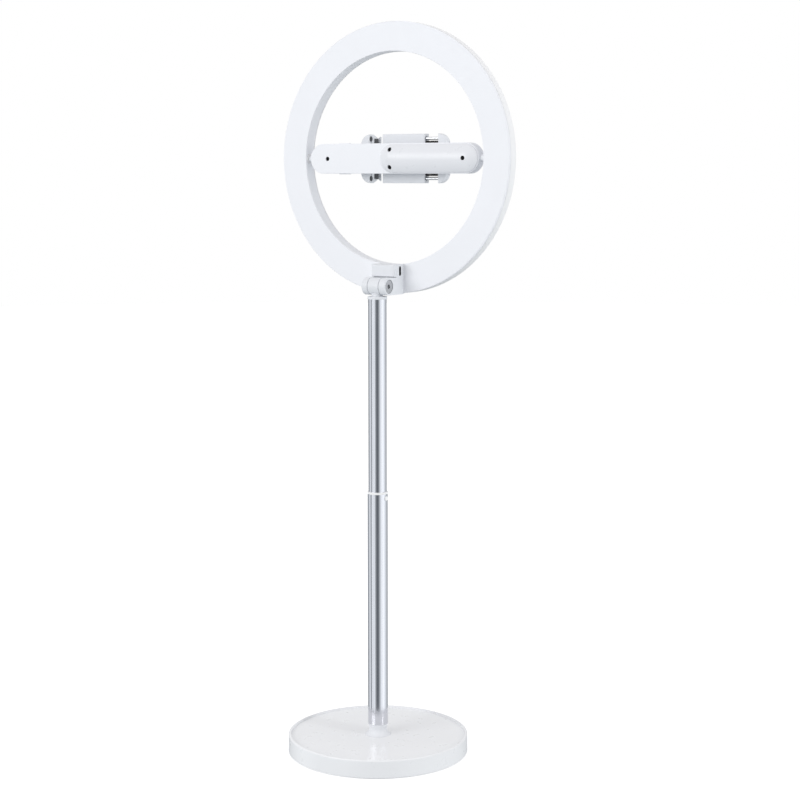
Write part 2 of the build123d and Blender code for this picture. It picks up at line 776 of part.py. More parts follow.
def bar_slab(inset, y_start, y_end):
    """The bar's outline given a thickness between two places along Y."""
    slab = extrude(Plane.XZ * bar_sketch(inset), y_end - y_start, dir=(0, -1, 0))
    return Pos(0, y_end, ring_z) * slab


def bar_column_places():
    """Places of the four screws, as X and height above the ring's centre."""
    return [(pod_screw_x, pod_screw_dz), (pod_screw_x, -pod_screw_dz), (pod_far_screw_x, 0), (bar_screw_x, 0)]


def column(x, dz, radius, y_start, y_end):
    """Round bar along Y at a screw's place."""
    return Pos(x, y_end, ring_z + dz) * Rot(90, 0, 0) * rod(radius, 0, y_end - y_start)


def bar_cuts():
    """Openings shared by the two shells: pin seats and key slots."""
    cuts = on_pivot(rod(pin_shoulder_r, pin_root, bar_tip + past), 1)
    cuts += on_pivot(rod(pin_shoulder_r, pin_root, bar_tip + past), -1)
    half_len = key_len / 2 + slip_fit
    half_w = key_w / 2 + slip_fit
    for side in (-1, 1):
        near = ring_z + side * (bar_half_h - bar_wall - past)
        outside = ring_z + side * (bar_half_h + past)
        cuts += block(key_x - half_len, key_x + half_len, pivot_y - half_w, pivot_y + half_w, near, outside)
    return cuts


def pin_blocks(y_start, y_end):
    """Solid ends of a shell that hold the pins."""
    ends = bar_slab(0, y_start, y_end)
    keep = pin_root - pin_block_len
    low = ring_z - pin_block_half_h
    high = ring_z + pin_block_half_h
    return ends & (block(keep, bar_tip, y_start, y_end, low, high)
                   + block(-bar_tip, -keep, y_start, y_end, low, high))


def crossbar_rear():
    """Rear shell of the crossbar, flat, with an opening for the swivel's nut."""
    body = bar_slab(0, pivot_y, bar_back_y)
    body = rounded_edges(body, bar_edge_round, lambda e: abs(e.center().Y - bar_back_y) < tiny)
    body -= bar_slab(bar_wall, pivot_y - past, bar_back_y - bar_wall)
    body += pin_blocks(pivot_y, bar_back_y - bar_wall)
    for x, dz in bar_column_places():
        body += column(x, dz, screw_column_r, pivot_y, bar_back_y - bar_wall)
        body -= column(x, dz, screw_r + slip_fit, pivot_y - past, bar_back_y + past)
    body -= column(bar_screw_x, 0, screw_head_r + slip_fit, screw_seat_y(bar_screw_x), bar_back_y + past)
    body -= column(0, 0, swivel_boss_r, pivot_y - past, bar_back_y + past)
    return body - bar_cuts() - control_lead_bar(control_lead_r + slip_fit)


def crossbar_front():
    """Front shell of the crossbar, with the bearing boss of the phone clamp's swivel."""
    body = bar_slab(0, bar_front_y, pivot_y)
    body = rounded_edges(body, bar_edge_round, lambda e: abs(e.center().Y - bar_front_y) < tiny)
    body -= bar_slab(bar_wall, bar_front_y + bar_wall, pivot_y + past)
    body += pin_blocks(bar_front_y + bar_wall, pivot_y)
    for x, dz in bar_column_places():
        body += column(x, dz, screw_column_r, bar_front_y + bar_wall, pivot_y)
        body -= column(x, dz, screw_r, bar_front_y + bar_wall / 2, pivot_y + past)
    body += column(0, 0, swivel_boss_r, bar_front_y, boss_top_y)
    body -= column(0, 0, swivel_r + running_fit, bar_front_y - past, boss_top_y + past)
    return body - bar_cuts() - control_lead_bar(control_lead_r + slip_fit)


def pod_radius():
    """Radius of the arc across the pod's dome."""
    return (pod_half_h ** 2 + pod_dome ** 2) / (2 * pod_dome)


def pod_solid(inset):
    """Long domed pod with round ends, smaller all round by the inset."""
    arc_r = pod_radius() - inset
    half_h = pod_half_h - inset
    arc_centre = pod_edge + pod_dome - pod_radius()
    crown = arc_centre + arc_r
    shoulder = arc_centre + sqrt(arc_r ** 2 - half_h ** 2)
    middle_angle = asin(half_h / arc_r) / 2
    with BuildSketch() as half:
        with BuildLine():
            foot = Polyline((0, crown), (0, 0), (half_h, 0), (half_h, shoulder))
            ThreePointArc(
                foot @ 1, (arc_r * sin(middle_angle), arc_centre + arc_r * cos(middle_angle)), (0, crown))
        make_face()
    end = revolve(Plane.XZ * half.sketch, Axis.Z)
    middle_face = Plane.YZ * (half.sketch + mirror(half.sketch, Plane.YZ))
    middle = extrude(middle_face, pod_far_x)
    whole = end + Pos(pod_far_x, 0, 0) * end + middle
    return Pos(0, bar_back_y, ring_z) * Rot(-90, 0, 0) * whole


def pod_height(dz):
    """Height of the pod's surface above the bar's back, at a distance from its centre line."""
    return pod_edge + pod_dome - pod_radius() + sqrt(pod_radius() ** 2 - dz ** 2)


def screw_seat_y(x, dz=0.0):
    """Place along Y where a screw's head seats."""
    surface = bar_back_y if x > pod_half_h else bar_back_y + pod_height(dz)
    return surface - screw_sink - screw_head_t


def bar_pod():
    """Domed cover over the swivel's nut, screwed to the crossbar."""
    body = pod_solid(0) - pod_solid(pod_wall)
    for x, dz in bar_column_places()[:3]:
        body += pod_solid(0) & column(x, dz, pod_column_r, bar_back_y, bar_back_y + far)
        body -= column(x, dz, screw_r + slip_fit, bar_back_y - past, bar_back_y + far)
        body -= column(x, dz, screw_head_r + slip_fit, screw_seat_y(x, dz), bar_back_y + far)
    return body


def bar_screws():
    """Screws that hold the pod and both shells of the crossbar together."""
    screws = []
    for x, dz in bar_column_places():
        seat = screw_seat_y(x, dz)
        shank = column(x, dz, screw_r, bar_front_y + bar_wall, seat)
        head_top = seat + screw_head_t
        head = column(x, dz, screw_head_r, seat, head_top)
        socket = column(x, dz, screw_socket_r, head_top - screw_head_t * socket_depth, head_top + past)
        screws.append(shank + head - socket)
    return Compound(screws)


def pivot_pin(bore_r):
    """Shouldered pin along Z, from the bar into the ring."""
    shoulder_end = ring_inner_r - bush_flange_t - body_gap * 2
    end = clip_start + clip_t + pin_end_past_clip
    body = rod(pin_shoulder_r, pin_root, shoulder_end) + rod(pin_r, shoulder_end, end)
    body -= sleeve(pin_r + past, clip_bore(), clip_start, clip_start + clip_t)
    if bore_r > 0:
        body -= rod(bore_r, 0, end + past)
    return body


def clip_bore():
    return pin_r - clip_groove


def hollow_pivot_pin():
    """Pin on the key side, bored for the control lead."""
    return on_pivot(pivot_pin(pin_bore_r), 1)


def solid_pivot_pin():
    """Pin on the pod side."""
    return on_pivot(pivot_pin(0), -1)


def pivot_clips():
    """Retaining rings in the pins' grooves, inside the ring."""
    one = sleeve(clip_r, clip_bore(), clip_start, clip_start + clip_t)
    return Compound([on_pivot(one, side) for side in (-1, 1)])


def control_lead_bar(radius):
    """Round bar on the control lead's route, from the key board round a screw and along the pin."""
    board_end = key_x + key_board_len / 2
    beyond_screw = bar_screw_x + screw_column_r + control_lead_clear
    pin_side = pin_root - control_lead_run_in
    pin_end = clip_start + clip_t + pin_end_past_clip
    route = FilletPolyline(
        (board_end, 0, control_lead_dz), (beyond_screw, 0, control_lead_dz), (pin_side, 0, 0),
        (pin_end, 0, 0), radius=control_lead_bend_r)
    section = Plane(route @ 0, z_dir=route % 0) * Circle(radius)
    return Pos(0, pivot_y, ring_z) * sweep(section, path=route)


def control_lead():
    """Lead from the key board through the hollow pin into the ring."""
    return control_lead_bar(control_lead_r)


def key_board():
    """Board with the two key switches."""
    x0 = key_x - key_board_len / 2
    x1 = key_x + key_board_len / 2
    return block(x0, x1, pivot_y - key_board_t / 2, pivot_y + key_board_t / 2,
                 ring_z - key_board_half_h, ring_z + key_board_half_h)


def key_foot():
    """Distance of a key's inner face from the pivot axis."""
    return bar_half_h - key_depth


def key_switches():
    """Tact switches on the edges of the key board, under the keys."""
    top = key_foot() - key_travel - body_gap
    switches = []
    for side in (-1, 1):
        switches.append(block(
            key_x - switch_len / 2, key_x + switch_len / 2, pivot_y - switch_w / 2, pivot_y + switch_w / 2,
            ring_z + side * key_board_half_h, ring_z + side * top))
    return Compound(switches)


def key(side):
    """Key cap with an inner flange that keeps it in the bar."""
    foot = ring_z + side * key_foot()
    face = ring_z + side * (bar_half_h + key_proud)
    cap = block(
        key_x - key_len / 2, key_x + key_len / 2, pivot_y - key_w / 2, pivot_y + key_w / 2, foot, face)
    cap = rounded_edges(cap, key_round, lambda e: abs(e.center().Z - face) < tiny)
    flange_end = ring_z + side * (bar_half_h - bar_wall - touch_gap)
    grow = slip_fit + key_flange
    return cap + block(
        key_x - key_len / 2 - grow, key_x + key_len / 2 + grow,
        pivot_y - key_w / 2 - grow, pivot_y + key_w / 2 + grow, foot, flange_end)


# ---------------------------------------------------------------- phone clamp

def clamp_box(inset, y_start, y_end):
    """The clamp block's outline, smaller all round by the inset."""
    return block(-clamp_half_w + inset, clamp_half_w - inset, y_start, y_end,
                 ring_z - clamp_half_h + inset, ring_z + clamp_half_h - inset)


def clamp_rods(radius, x_start, x_end):
    """The two guide rods' lines between two places along X."""
    bars = []
    for side in (-1, 1):
        bars.append(Pos(x_start, rod_y, ring_z + side * rod_z) * along_x(rod(radius, 0, x_end - x_start)))
    return bars


def spring_lines(radius, x_start, x_end):
    """The two springs' lines between two places along X."""
    bars = []
    for side in (-1, 1):
        bars.append(Pos(x_start, rod_y, ring_z + side * spring_z) * along_x(rod(radius, 0, x_end - x_start)))
    return bars


def jaw_outline(side_x, y):
    """The jaw's outline seen from behind, out to its side at one depth, with two rounded corners."""
    with BuildSketch() as outline:
        with Locations((side_x / 2, 0)):
            Rectangle(side_x, clamp_half_h * 2)
        fillet(outline.vertices().group_by(Axis.X)[-1], jaw_corner)
    return Pos(0, y, ring_z) * Rot(90, 0, 0) * outline.sketch


def jaw_solid():
    """The +X jaw: a claw round the phone's edge, with rounded outer corners."""
    inner = phone_w / 2
    outer = inner + jaw_w
    pad_face = inner + jaw_pad_t
    near = clamp_back_y
    phone_y = ring_back_y - phone_back - jaw_grip_set_in
    lip_y = clamp_back_y - jaw_depth
    lip_x = inner - jaw_lip
    side = [(outer - jaw_chamfer, near), (outer, near - jaw_chamfer),
            (outer - jaw_shoulder_in, near - jaw_shoulder_d), (outer - jaw_cheek_in, near - jaw_cheek_d),
            (inner + jaw_lip + jaw_tip_flat, lip_y)]
    with BuildSketch(Plane.XY) as section:
        with BuildLine():
            Polyline((inner, near), *side, (lip_x, lip_y), (lip_x, lip_y + jaw_lip_t),
                     (pad_face, lip_y + jaw_lip_root_t), (pad_face, phone_y), (inner, phone_y), close=True)
        make_face()
    body = Pos(0, 0, ring_z) * extrude(section.sketch, clamp_half_h, both=True)
    return body & loft([jaw_outline(side_x, y) for side_x, y in side], ruled=True)


def jaw_pad_solid():
    """Rubber strip on the +X jaw's grip."""
    inner = phone_w / 2
    lip_y = clamp_back_y - jaw_depth
    half_h = clamp_half_h - jaw_pad_margin
    near = ring_back_y - phone_back - jaw_grip_set_in - jaw_pad_end_gap
    return block(inner, inner + jaw_pad_t, lip_y + jaw_lip_root_t + jaw_pad_end_gap, near,
                 ring_z - half_h, ring_z + half_h)


def to_sliding_side(shape):
    """The mirror image of a +X piece on the -X side."""
    return mirror(shape, Plane.YZ)


def clamp_body():
    """Back shell of the clamp, with its hub, rod bearings, arm and fixed jaw in one moulding."""
    shell_front = plate_front_y + clamp_plate_t
    body = clamp_box(0, shell_front, clamp_back_y)
    body = rounded_edges(body, clamp_corner, lambda e: abs(e.center().Y - clamp_back_y) < tiny)
    inside = clamp_box(clamp_wall, shell_front - past, clamp_back_y - clamp_wall)
    rib = block(-clamp_rib / 2, clamp_rib / 2, shell_front, clamp_back_y,
                ring_z - clamp_half_h, ring_z + clamp_half_h)
    body -= inside - rib
    hub_back = bar_front_y - swivel_washer_t - touch_gap * 2
    body += column(0, 0, hub_r, shell_front, hub_back)
    arm = block(clamp_half_w - clamp_wall, phone_w / 2 + past, shell_front, clamp_back_y - arm_step,
                ring_z - arm_half_h, ring_z + arm_half_h)
    body += arm + jaw_solid()
    body -= column(0, 0, swivel_r, shell_front - past, hub_back + past)
    body -= column(0, 0, swivel_head_r + slip_fit, shell_front - past, shell_front + swivel_head_t)
    for bore in clamp_rods(rod_r + running_fit, -clamp_half_w - past, clamp_half_w + past):
        body -= bore
    for recess in clamp_rods(rod_recess_r, -clamp_half_w - past, -clamp_half_w + rod_recess_d):
        body -= recess
    for hole in clamp_rods(rod_hole_r, phone_w / 2 - past, phone_w / 2 + rod_hole_d):
        body -= hole
    for hole in spring_lines(spring_r + slip_fit, -clamp_half_w - past, clamp_half_w - clamp_wall - past):
        body -= hole
    for hole in spring_lines(spring_hook_r, phone_w / 2 - past, phone_w / 2 + rod_hole_d):
        body -= hole
    return body


def bore_plugs():
    """Rubber plugs that close the rods' bores in the fixed jaw."""
    return Compound(clamp_rods(rod_hole_r, phone_w / 2 + plug_set_in, phone_w / 2 + rod_hole_d))


def clamp_plate():
    """Front plate of the clamp block."""
    return clamp_box(0, plate_front_y, plate_front_y + clamp_plate_t)


def clamp_pad():
    """Rubber sheet that the phone's back lies on."""
    return clamp_box(clamp_pad_margin, plate_front_y - clamp_pad_t, plate_front_y)


def swivel_bolt():
    """Shouldered bolt that the clamp turns with in the crossbar."""
    shell_front = plate_front_y + clamp_plate_t
    end_y = nut_front_y + swivel_nut_t + swivel_end_past_nut
    body = column(0, 0, swivel_head_r, shell_front + touch_gap, shell_front + swivel_head_t)
    return body + column(0, 0, swivel_r, shell_front + swivel_head_t, end_y)


def swivel_washer():
    """Friction washer between the clamp's hub and the crossbar."""
    end = bar_front_y - touch_gap
    disc = column(0, 0, swivel_washer_r, end - swivel_washer_t, end)
    return disc - column(0, 0, swivel_r + slip_fit, end - far, end + past)


def swivel_spring_washer():
    """Spring washer that loads the swivel."""
    start = boss_top_y + touch_gap
    disc = column(0, 0, swivel_spring_r, start, start + swivel_spring_t)
    return disc - column(0, 0, swivel_r + slip_fit, start - past, start + far)


def swivel_nut():
    """Lock nut on the end of the swivel bolt."""
    nut = hexagon(swivel_nut_af, 0, swivel_nut_t) - rod(swivel_r, -past, swivel_nut_t + past)
    return Pos(0, nut_front_y + swivel_nut_t, ring_z) * Rot(90, 0, 0) * nut


def sliding_jaw():
    """Jaw that slides out on the two rods."""
    body = to_sliding_side(jaw_solid())
    inner = -phone_w / 2
    for bore in clamp_rods(rod_r, inner - rod_root, inner + past):
        body -= bore
    for bore in spring_lines(spring_r + slip_fit, inner - spring_root - slip_fit, inner + past):
        body -= bore
    for hole in spring_lines(spring_hook_r, inner - jaw_w - past, inner):
        body -= hole
    return body


def guide_rods():
    """Chromed steel rods, fixed in the sliding jaw and flush with the block's far side when open."""
    return Compound(clamp_rods(rod_r, -phone_w / 2 - rod_root, clamp_half_w))


def jaw_springs():
    """Extension springs between the sliding jaw and the clamp's middle rib, as plain tubes."""
    start = -phone_w / 2 - spring_root
    outer = spring_lines(spring_r, start, -clamp_rib / 2 - slip_fit)
    inner = spring_lines(spring_r - spring_wire, start - past, 0)
    return Compound([tube - hole for tube, hole in zip(outer, inner)])


def fixed_jaw_pad():
    return jaw_pad_solid()


def sliding_jaw_pad():
    return to_sliding_side(jaw_pad_solid())


pieces = {
    "base_cover": base_cover,
    "weight_plate": weight_plate,
    "weight_screws": weight_screws,
    "base_pad": base_pad,
    "pole_socket": pole_socket,
    "pole_bolt": pole_bolt,
    "lower_tube": lower_tube,
    "pole_collar": pole_collar,
    "glide_bush": glide_bush,
    "upper_tube": upper_tube,
    "hinge_knuckle": hinge_knuckle,
    "hinge_bolt": hinge_bolt,
    "hinge_nut": hinge_nut,
    "hinge_washers": hinge_washers,
    "port_housing": port_housing,
    "housing_cap": housing_cap,
    "housing_screws": housing_screws,
    "usb_c_socket": usb_c_socket,
    "port_board": port_board,
    "led_leads": led_leads,
    "rear_cover": rear_cover,
    "led_board": led_board,
    "led_chips": led_chips,
    "led_board_screws": led_board_screws,
    "diffuser": diffuser,
    "pivot_bushes": pivot_bushes,
    "crossbar_rear": crossbar_rear,
    "crossbar_front": crossbar_front,
    "bar_pod": bar_pod,
    "bar_screws": bar_screws,
    "hollow_pivot_pin": hollow_pivot_pin,
    "solid_pivot_pin": solid_pivot_pin,
    "pivot_clips": pivot_clips,
    "control_lead": control_lead,
    "key_board": key_board,
    "key_switches": key_switches,
    "upper_key": lambda: key(1),
    "lower_key": lambda: key(-1),
    "clamp_body": clamp_body,
    "clamp_plate": clamp_plate,
    "clamp_pad": clamp_pad,
    "fixed_jaw_pad": fixed_jaw_pad,
    "bore_plugs": bore_plugs,
    "swivel_bolt": swivel_bolt,
    "swivel_washer": swivel_washer,
    "swivel_spring_washer": swivel_spring_washer,
    "swivel_nut": swivel_nut,
    "sliding_jaw": sliding_jaw,
    "guide_rods": guide_rods,
    "jaw_springs": jaw_springs,
    "sliding_jaw_pad": sliding_jaw_pad,
}

os.makedirs("parts", exist_ok=True)
for name, make in pieces.items():
    export_step(make(), f"parts/{name}.step")
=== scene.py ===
import json
from math import pi, radians

import bpy
from bpy.props import FloatProperty, FloatVectorProperty, IntProperty, PointerProperty
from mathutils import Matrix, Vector

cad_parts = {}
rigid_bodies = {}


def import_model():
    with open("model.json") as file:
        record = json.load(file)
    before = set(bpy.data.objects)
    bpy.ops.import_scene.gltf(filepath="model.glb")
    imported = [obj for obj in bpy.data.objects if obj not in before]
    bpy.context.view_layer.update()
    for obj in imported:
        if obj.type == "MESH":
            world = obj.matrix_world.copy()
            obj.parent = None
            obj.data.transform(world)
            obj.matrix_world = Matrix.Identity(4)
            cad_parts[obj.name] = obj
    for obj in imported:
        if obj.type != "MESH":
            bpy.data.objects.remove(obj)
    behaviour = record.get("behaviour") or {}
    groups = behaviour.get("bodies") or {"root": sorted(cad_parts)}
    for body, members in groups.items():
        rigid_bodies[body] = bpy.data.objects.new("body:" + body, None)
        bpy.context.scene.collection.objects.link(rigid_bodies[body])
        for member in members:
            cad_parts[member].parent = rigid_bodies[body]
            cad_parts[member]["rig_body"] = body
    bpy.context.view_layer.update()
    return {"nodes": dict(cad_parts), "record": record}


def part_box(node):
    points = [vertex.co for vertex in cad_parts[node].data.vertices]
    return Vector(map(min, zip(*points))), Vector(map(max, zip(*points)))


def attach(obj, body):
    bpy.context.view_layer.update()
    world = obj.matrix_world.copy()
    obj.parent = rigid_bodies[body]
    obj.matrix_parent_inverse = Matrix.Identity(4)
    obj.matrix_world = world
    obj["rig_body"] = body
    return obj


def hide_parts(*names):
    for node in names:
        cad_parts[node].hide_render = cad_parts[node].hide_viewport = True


bl_info = {
    "name": "Ring light",
    "version": (1, 0, 0),
    "blender": (4, 5, 0),
    "location": "View3D > Sidebar > Ring light",
    "description": "Finishes, small moulded and sprung pieces, and a studio for a ring light on a pole",
    "category": "Object",
}

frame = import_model()
mm = 0.001
tiny = 0.001 * mm


# ------------------------------------------------------------------ colours and nodes

def linear(hex_code, alpha=False):
    """A colour written as an sRGB hex code, turned to the linear values that shaders take."""
    values = []
    for start in (1, 3, 5):
        part = int(hex_code[start:start + 2], 16) / 255
        values.append(part / 12.92 if part <= 0.04045 else ((part + 0.055) / 1.055) ** 2.4)
    return tuple(values + [1.0]) if alpha else tuple(values)


def add_node(tree, kind, inputs=None, links=None, **settings):
    """Adds a shader node, sets its properties and sockets, and links other nodes' sockets into it."""
    made = tree.nodes.new(kind)
    for key, value in settings.items():
        setattr(made, key, value)
    for key, value in (inputs or {}).items():
        made.inputs[key].default_value = value
    for key, source in (links or {}).items():
        tree.links.new(source, made.inputs[key])
    return made


def start_material(name):
    """An empty node material with its output, its shader and the object's own coordinates."""
    material = bpy.data.materials.new(name)
    material.use_nodes = True
    tree = material.node_tree
    tree.nodes.clear()
    shader = add_node(tree, "ShaderNodeBsdfPrincipled")
    add_node(tree, "ShaderNodeOutputMaterial", links={"Surface": shader.outputs["BSDF"]})
    place = add_node(tree, "ShaderNodeTexCoord")
    return material, tree, shader, place.outputs["Object"]


def spread(tree, source, low, high):
    """Maps a pattern's middle range to the span from low to high."""
    ramp = add_node(tree, "ShaderNodeMapRange",
                    {"From Min": 0.3, "From Max": 0.7, "To Min": low, "To Max": high}, {"Value": source})
    return ramp.outputs["Result"]


def shade_between(tree, source, dark, light):
    """Blends two colours by a pattern."""
    blend = add_node(tree, "ShaderNodeMix", data_type="RGBA", clamp_factor=True)
    blend.inputs["A"].default_value = dark
    blend.inputs["B"].default_value = light
    tree.links.new(source, blend.inputs["Factor"])
    return blend.outputs["Result"]


def darker(colour, share):
    """The colour with its brightness cut to a share, with an alpha of one."""
    return tuple(part * share for part in colour[:3]) + (1.0,)


def noise(tree, place, size, detail, roughness=0.5):
    """A noise pattern with features of about the given size."""
    pattern = add_node(tree, "ShaderNodeTexNoise",
                       {"Scale": 1 / size, "Detail": detail, "Roughness": roughness}, {"Vector": place})
    return pattern.outputs["Fac"]


def vary_colour(tree, shader, source, colour, share):
    """Lets a pattern run the colour from a darker share of itself up to its full brightness."""
    tint = shade_between(tree, spread(tree, source, 0, 1), darker(colour, share), darker(colour, 1))
    tree.links.new(tint, shader.inputs["Base Color"])


def vary_gloss(tree, shader, source, roughness):
    """Lets a pattern move the roughness a little to both sides of its mean."""
    tree.links.new(spread(tree, source, roughness - 0.04, roughness + 0.05), shader.inputs["Roughness"])


def relief(tree, shader, source, strength, depth, edge):
    """Raises a pattern by a small depth, on a surface whose sharp edges look rounded by a small radius."""
    rounded = add_node(tree, "ShaderNodeBevel", {"Radius": edge}, samples=4)
    bump = add_node(tree, "ShaderNodeBump", {"Strength": strength, "Distance": depth},
                    {"Height": source, "Normal": rounded.outputs["Normal"]})
    tree.links.new(bump.outputs["Normal"], shader.inputs["Normal"])


def moulded_plastic(name, colour, roughness, grain, grain_depth, edge=0.25 * mm, ior=1.53, flow=0.975):
    """Injection-moulded plastic: an eroded-mould grain, broad flow marks in the gloss, and softened edges."""
    material, tree, shader, place = start_material(name)
    flow_marks = noise(tree, place, 70 * mm, 2.0, 0.45)
    gloss_marks = noise(tree, place, 9 * mm, 4.0, 0.6)
    pits = noise(tree, place, grain, 3.0, 0.65)
    vary_colour(tree, shader, flow_marks, colour, flow)
    vary_gloss(tree, shader, gloss_marks, roughness)
    relief(tree, shader, pits, 0.35, grain_depth, edge)
    shader.inputs["IOR"].default_value = ior
    return material


def turned_metal(name, colour, roughness, streak, along, depth=0.004 * mm, edge=0.15 * mm):
    """Metal with fine tool or polishing marks, each 60 times as long as it is wide, along one direction."""
    material, tree, shader, place = start_material(name)
    stretch = [1 / streak] * 3
    stretch["XYZ".index(along)] = 1 / (streak * 60)
    turn = add_node(tree, "ShaderNodeMapping", {"Scale": stretch}, {"Vector": place})
    marks = noise(tree, turn.outputs["Vector"], 1.0, 3.0, 0.6)
    haze = noise(tree, place, 25 * mm, 3.0)
    both = add_node(tree, "ShaderNodeMath", {2: 0.2}, {0: marks, 1: haze}, operation="MULTIPLY_ADD")
    vary_colour(tree, shader, marks, colour, 0.92)
    vary_gloss(tree, shader, both.outputs["Value"], roughness)
    relief(tree, shader, marks, 0.3, depth, edge)
    shader.inputs["Metallic"].default_value = 1.0
    return material


def let_light_in(material, weight, depth):
    """Scatters a share of the light below the surface, about as far as the given depth."""
    shader = material.node_tree.nodes["Principled BSDF"]
    shader.inputs["Subsurface Weight"].default_value = weight
    shader.inputs["Subsurface Radius"].default_value = (1.0, 1.0, 1.0)
    shader.inputs["Subsurface Scale"].default_value = depth
    return material


# ------------------------------------------------------------------ the finishes

def spark_eroded_white_abs(props):
    # Cases moulded in a spark-eroded tool: a dead even, soft white with only a broad highlight.
    # The real grain is 0.1 mm; it is drawn at 0.45 mm so that it shows.
    return moulded_plastic("Spark-eroded white ABS", props.case_white, 0.46, 0.45 * mm, 0.02 * mm)


def glass_filled_nylon_and_painted_shade(props):
    # Hinge, clamp and pole foot take the loads: a stronger plastic with a drier sheen. Its white is greyer
    # than the cases': partly the plastic's own tone, partly painted shade for the shade that falls on the
    # clamp behind the crossbar, on the housing's side and round the pole's foot.
    return moulded_plastic("Glass-filled white nylon and painted shade", props.joint_white_and_shade, 0.42, 0.5 * mm, 0.02 * mm,
                           edge=0.3 * mm)


def polished_white_abs_painted_shade(props):
    # Pod from a polished cavity: the domed face draws the lamps out into one long, soft highlight.
    # The pod's white is the cases' white cut to 0.91: painted shade, which makes the pod darker overall than
    # the cases of the same plastic.
    return moulded_plastic("Polished white ABS with painted shade", darker(props.case_white, 0.91), 0.3, 1.0 * mm, 0.001 * mm,
                           edge=0.3 * mm)


def satin_moulded_white_abs(props):
    # Base from a stoned, half-polished tool: the same white with a sheen that mirrors the pole softly.
    return moulded_plastic("Satin moulded white ABS", props.base_white, 0.3, 0.8 * mm, 0.0015 * mm,
                           edge=0.35 * mm)


def opal_moulded_polycarbonate(props):
    # Opal light diffuser: light goes a few millimetres into it, so shaded sides stay bright and edges glow.
    material = moulded_plastic("Opal moulded polycarbonate", props.diffuser_white, 0.38, 0.6 * mm, 0.002 * mm,
                               edge=0.3 * mm, ior=1.58, flow=0.99)
    return let_light_in(material, 0.2, 2.5 * mm)


def satin_chromed_steel_tube(props):
    # Welded tube, linished along its length and chromed: bands of light and dark run the pole's whole height.
    return turned_metal("Satin chromed steel tube", props.pole_metal, 0.14, 0.5 * mm, "Z")


def bright_chromed_rod(props):
    # Ground and bright chromed guide rod: a small mirror, dark where the clamp shades it.
    return turned_metal("Bright chromed ground rod", linear("#D9DADC"), 0.1, 0.3 * mm, "X")


def nickelled_turned_steel(props):
    # Turned bolt head, nickel plated: warm grey with fine marks from the tool.
    return turned_metal("Nickel plated turned steel", linear("#C9CACC"), 0.3, 0.25 * mm, "X", 0.01 * mm)


def drawn_nickelled_shell(props):
    # Deep-drawn socket shell: darker nickel, seen only inside its slot.
    return turned_metal("Drawn nickel plated shell", linear("#77787A"), 0.3, 0.2 * mm, "X")


def zinc_plated_steel(props):
    # Screws, nuts and clips: pale blue-grey zinc with a slight mottle.
    return turned_metal("Zinc plated steel", linear("#B4B8BC"), 0.36, 0.6 * mm, "Z")


def oiled_steel_plate(props):
    # Blanked steel weight, oiled against rust: dull and dark.
    return turned_metal("Oiled blanked steel", linear("#6A6A6C"), 0.45, 1.2 * mm, "X", 0.02 * mm)


def oiled_spring_wire(props):
    # Patented spring wire: nearly black with a thin line of light on each turn.
    return turned_metal("Oiled spring wire", linear("#4A4846"), 0.32, 0.2 * mm, "X")


def black_oxide_steel(props):
    # Small screws blackened in a bath: black with a faint sheen on the recess's edges.
    return turned_metal("Black oxide steel", props.screw_black, 0.42, 0.2 * mm, "Y", edge=0.08 * mm)


def moulded_silicone_rubber(props):
    # Soft grips: matt grey that takes almost no highlight.
    return moulded_plastic("Moulded silicone rubber", props.rubber_grey, 0.78, 0.5 * mm, 0.03 * mm,
                           ior=1.41, flow=0.9)


def turned_acetal(props):
    # Bushes and washers in natural acetal: a whiter, waxier plastic with a slight sheen.
    material = moulded_plastic("Natural acetal", linear("#FBFBFB"), 0.36, 0.9 * mm, 0.006 * mm, ior=1.48)
    return let_light_in(material, 0.15, 1.0 * mm)


def solder_mask(name, code):
    # Glass-fibre board under solder mask: a thin gloss over the weave of the cloth.
    material, tree, shader, place = start_material(name)
    weave = add_node(tree, "ShaderNodeTexWave", {"Scale": 1 / (1.6 * mm), "Distortion": 0.4},
                     {"Vector": place}, bands_direction="X")
    tint = shade_between(tree, weave.outputs["Fac"], darker(linear(code), 0.82), darker(linear(code), 1))
    tree.links.new(tint, shader.inputs["Base Color"])
    bump = add_node(tree, "ShaderNodeBump", {"Strength": 0.2, "Distance": 0.01 * mm},
                    {"Height": weave.outputs["Fac"]})
    tree.links.new(bump.outputs["Normal"], shader.inputs["Normal"])
    shader.inputs["Roughness"].default_value = 0.3
    return material


def green_solder_mask(props):
    # The usual mask on the port and key boards: a dark, glossy green.
    return solder_mask("Green solder mask", "#1D5A34")


def white_solder_mask(props):
    # White mask on the LED board, which throws the light forward through the diffuser.
    return solder_mask("White solder mask", "#ECECE6")


def led_phosphor(props):
    # Silicone filled with phosphor over each chip: an egg-yolk yellow, slightly grainy.
    return moulded_plastic("Phosphor filled silicone", linear("#E8C84A"), 0.4, 0.3 * mm, 0.02 * mm,
                           ior=1.43, flow=0.85)


def extruded_pvc(props):
    # Wire insulation: soft black plastic with a light bloom.
    return moulded_plastic("Extruded PVC", linear("#232324"), 0.5, 0.4 * mm, 0.01 * mm, ior=1.52, flow=0.85)


def black_moulded_nylon(props):
    # Switch bodies: glass-filled nylon, dark grey-black and dry.
    return moulded_plastic("Glass-filled black nylon", linear("#2A2A2B"), 0.6, 0.35 * mm, 0.02 * mm, flow=0.85)


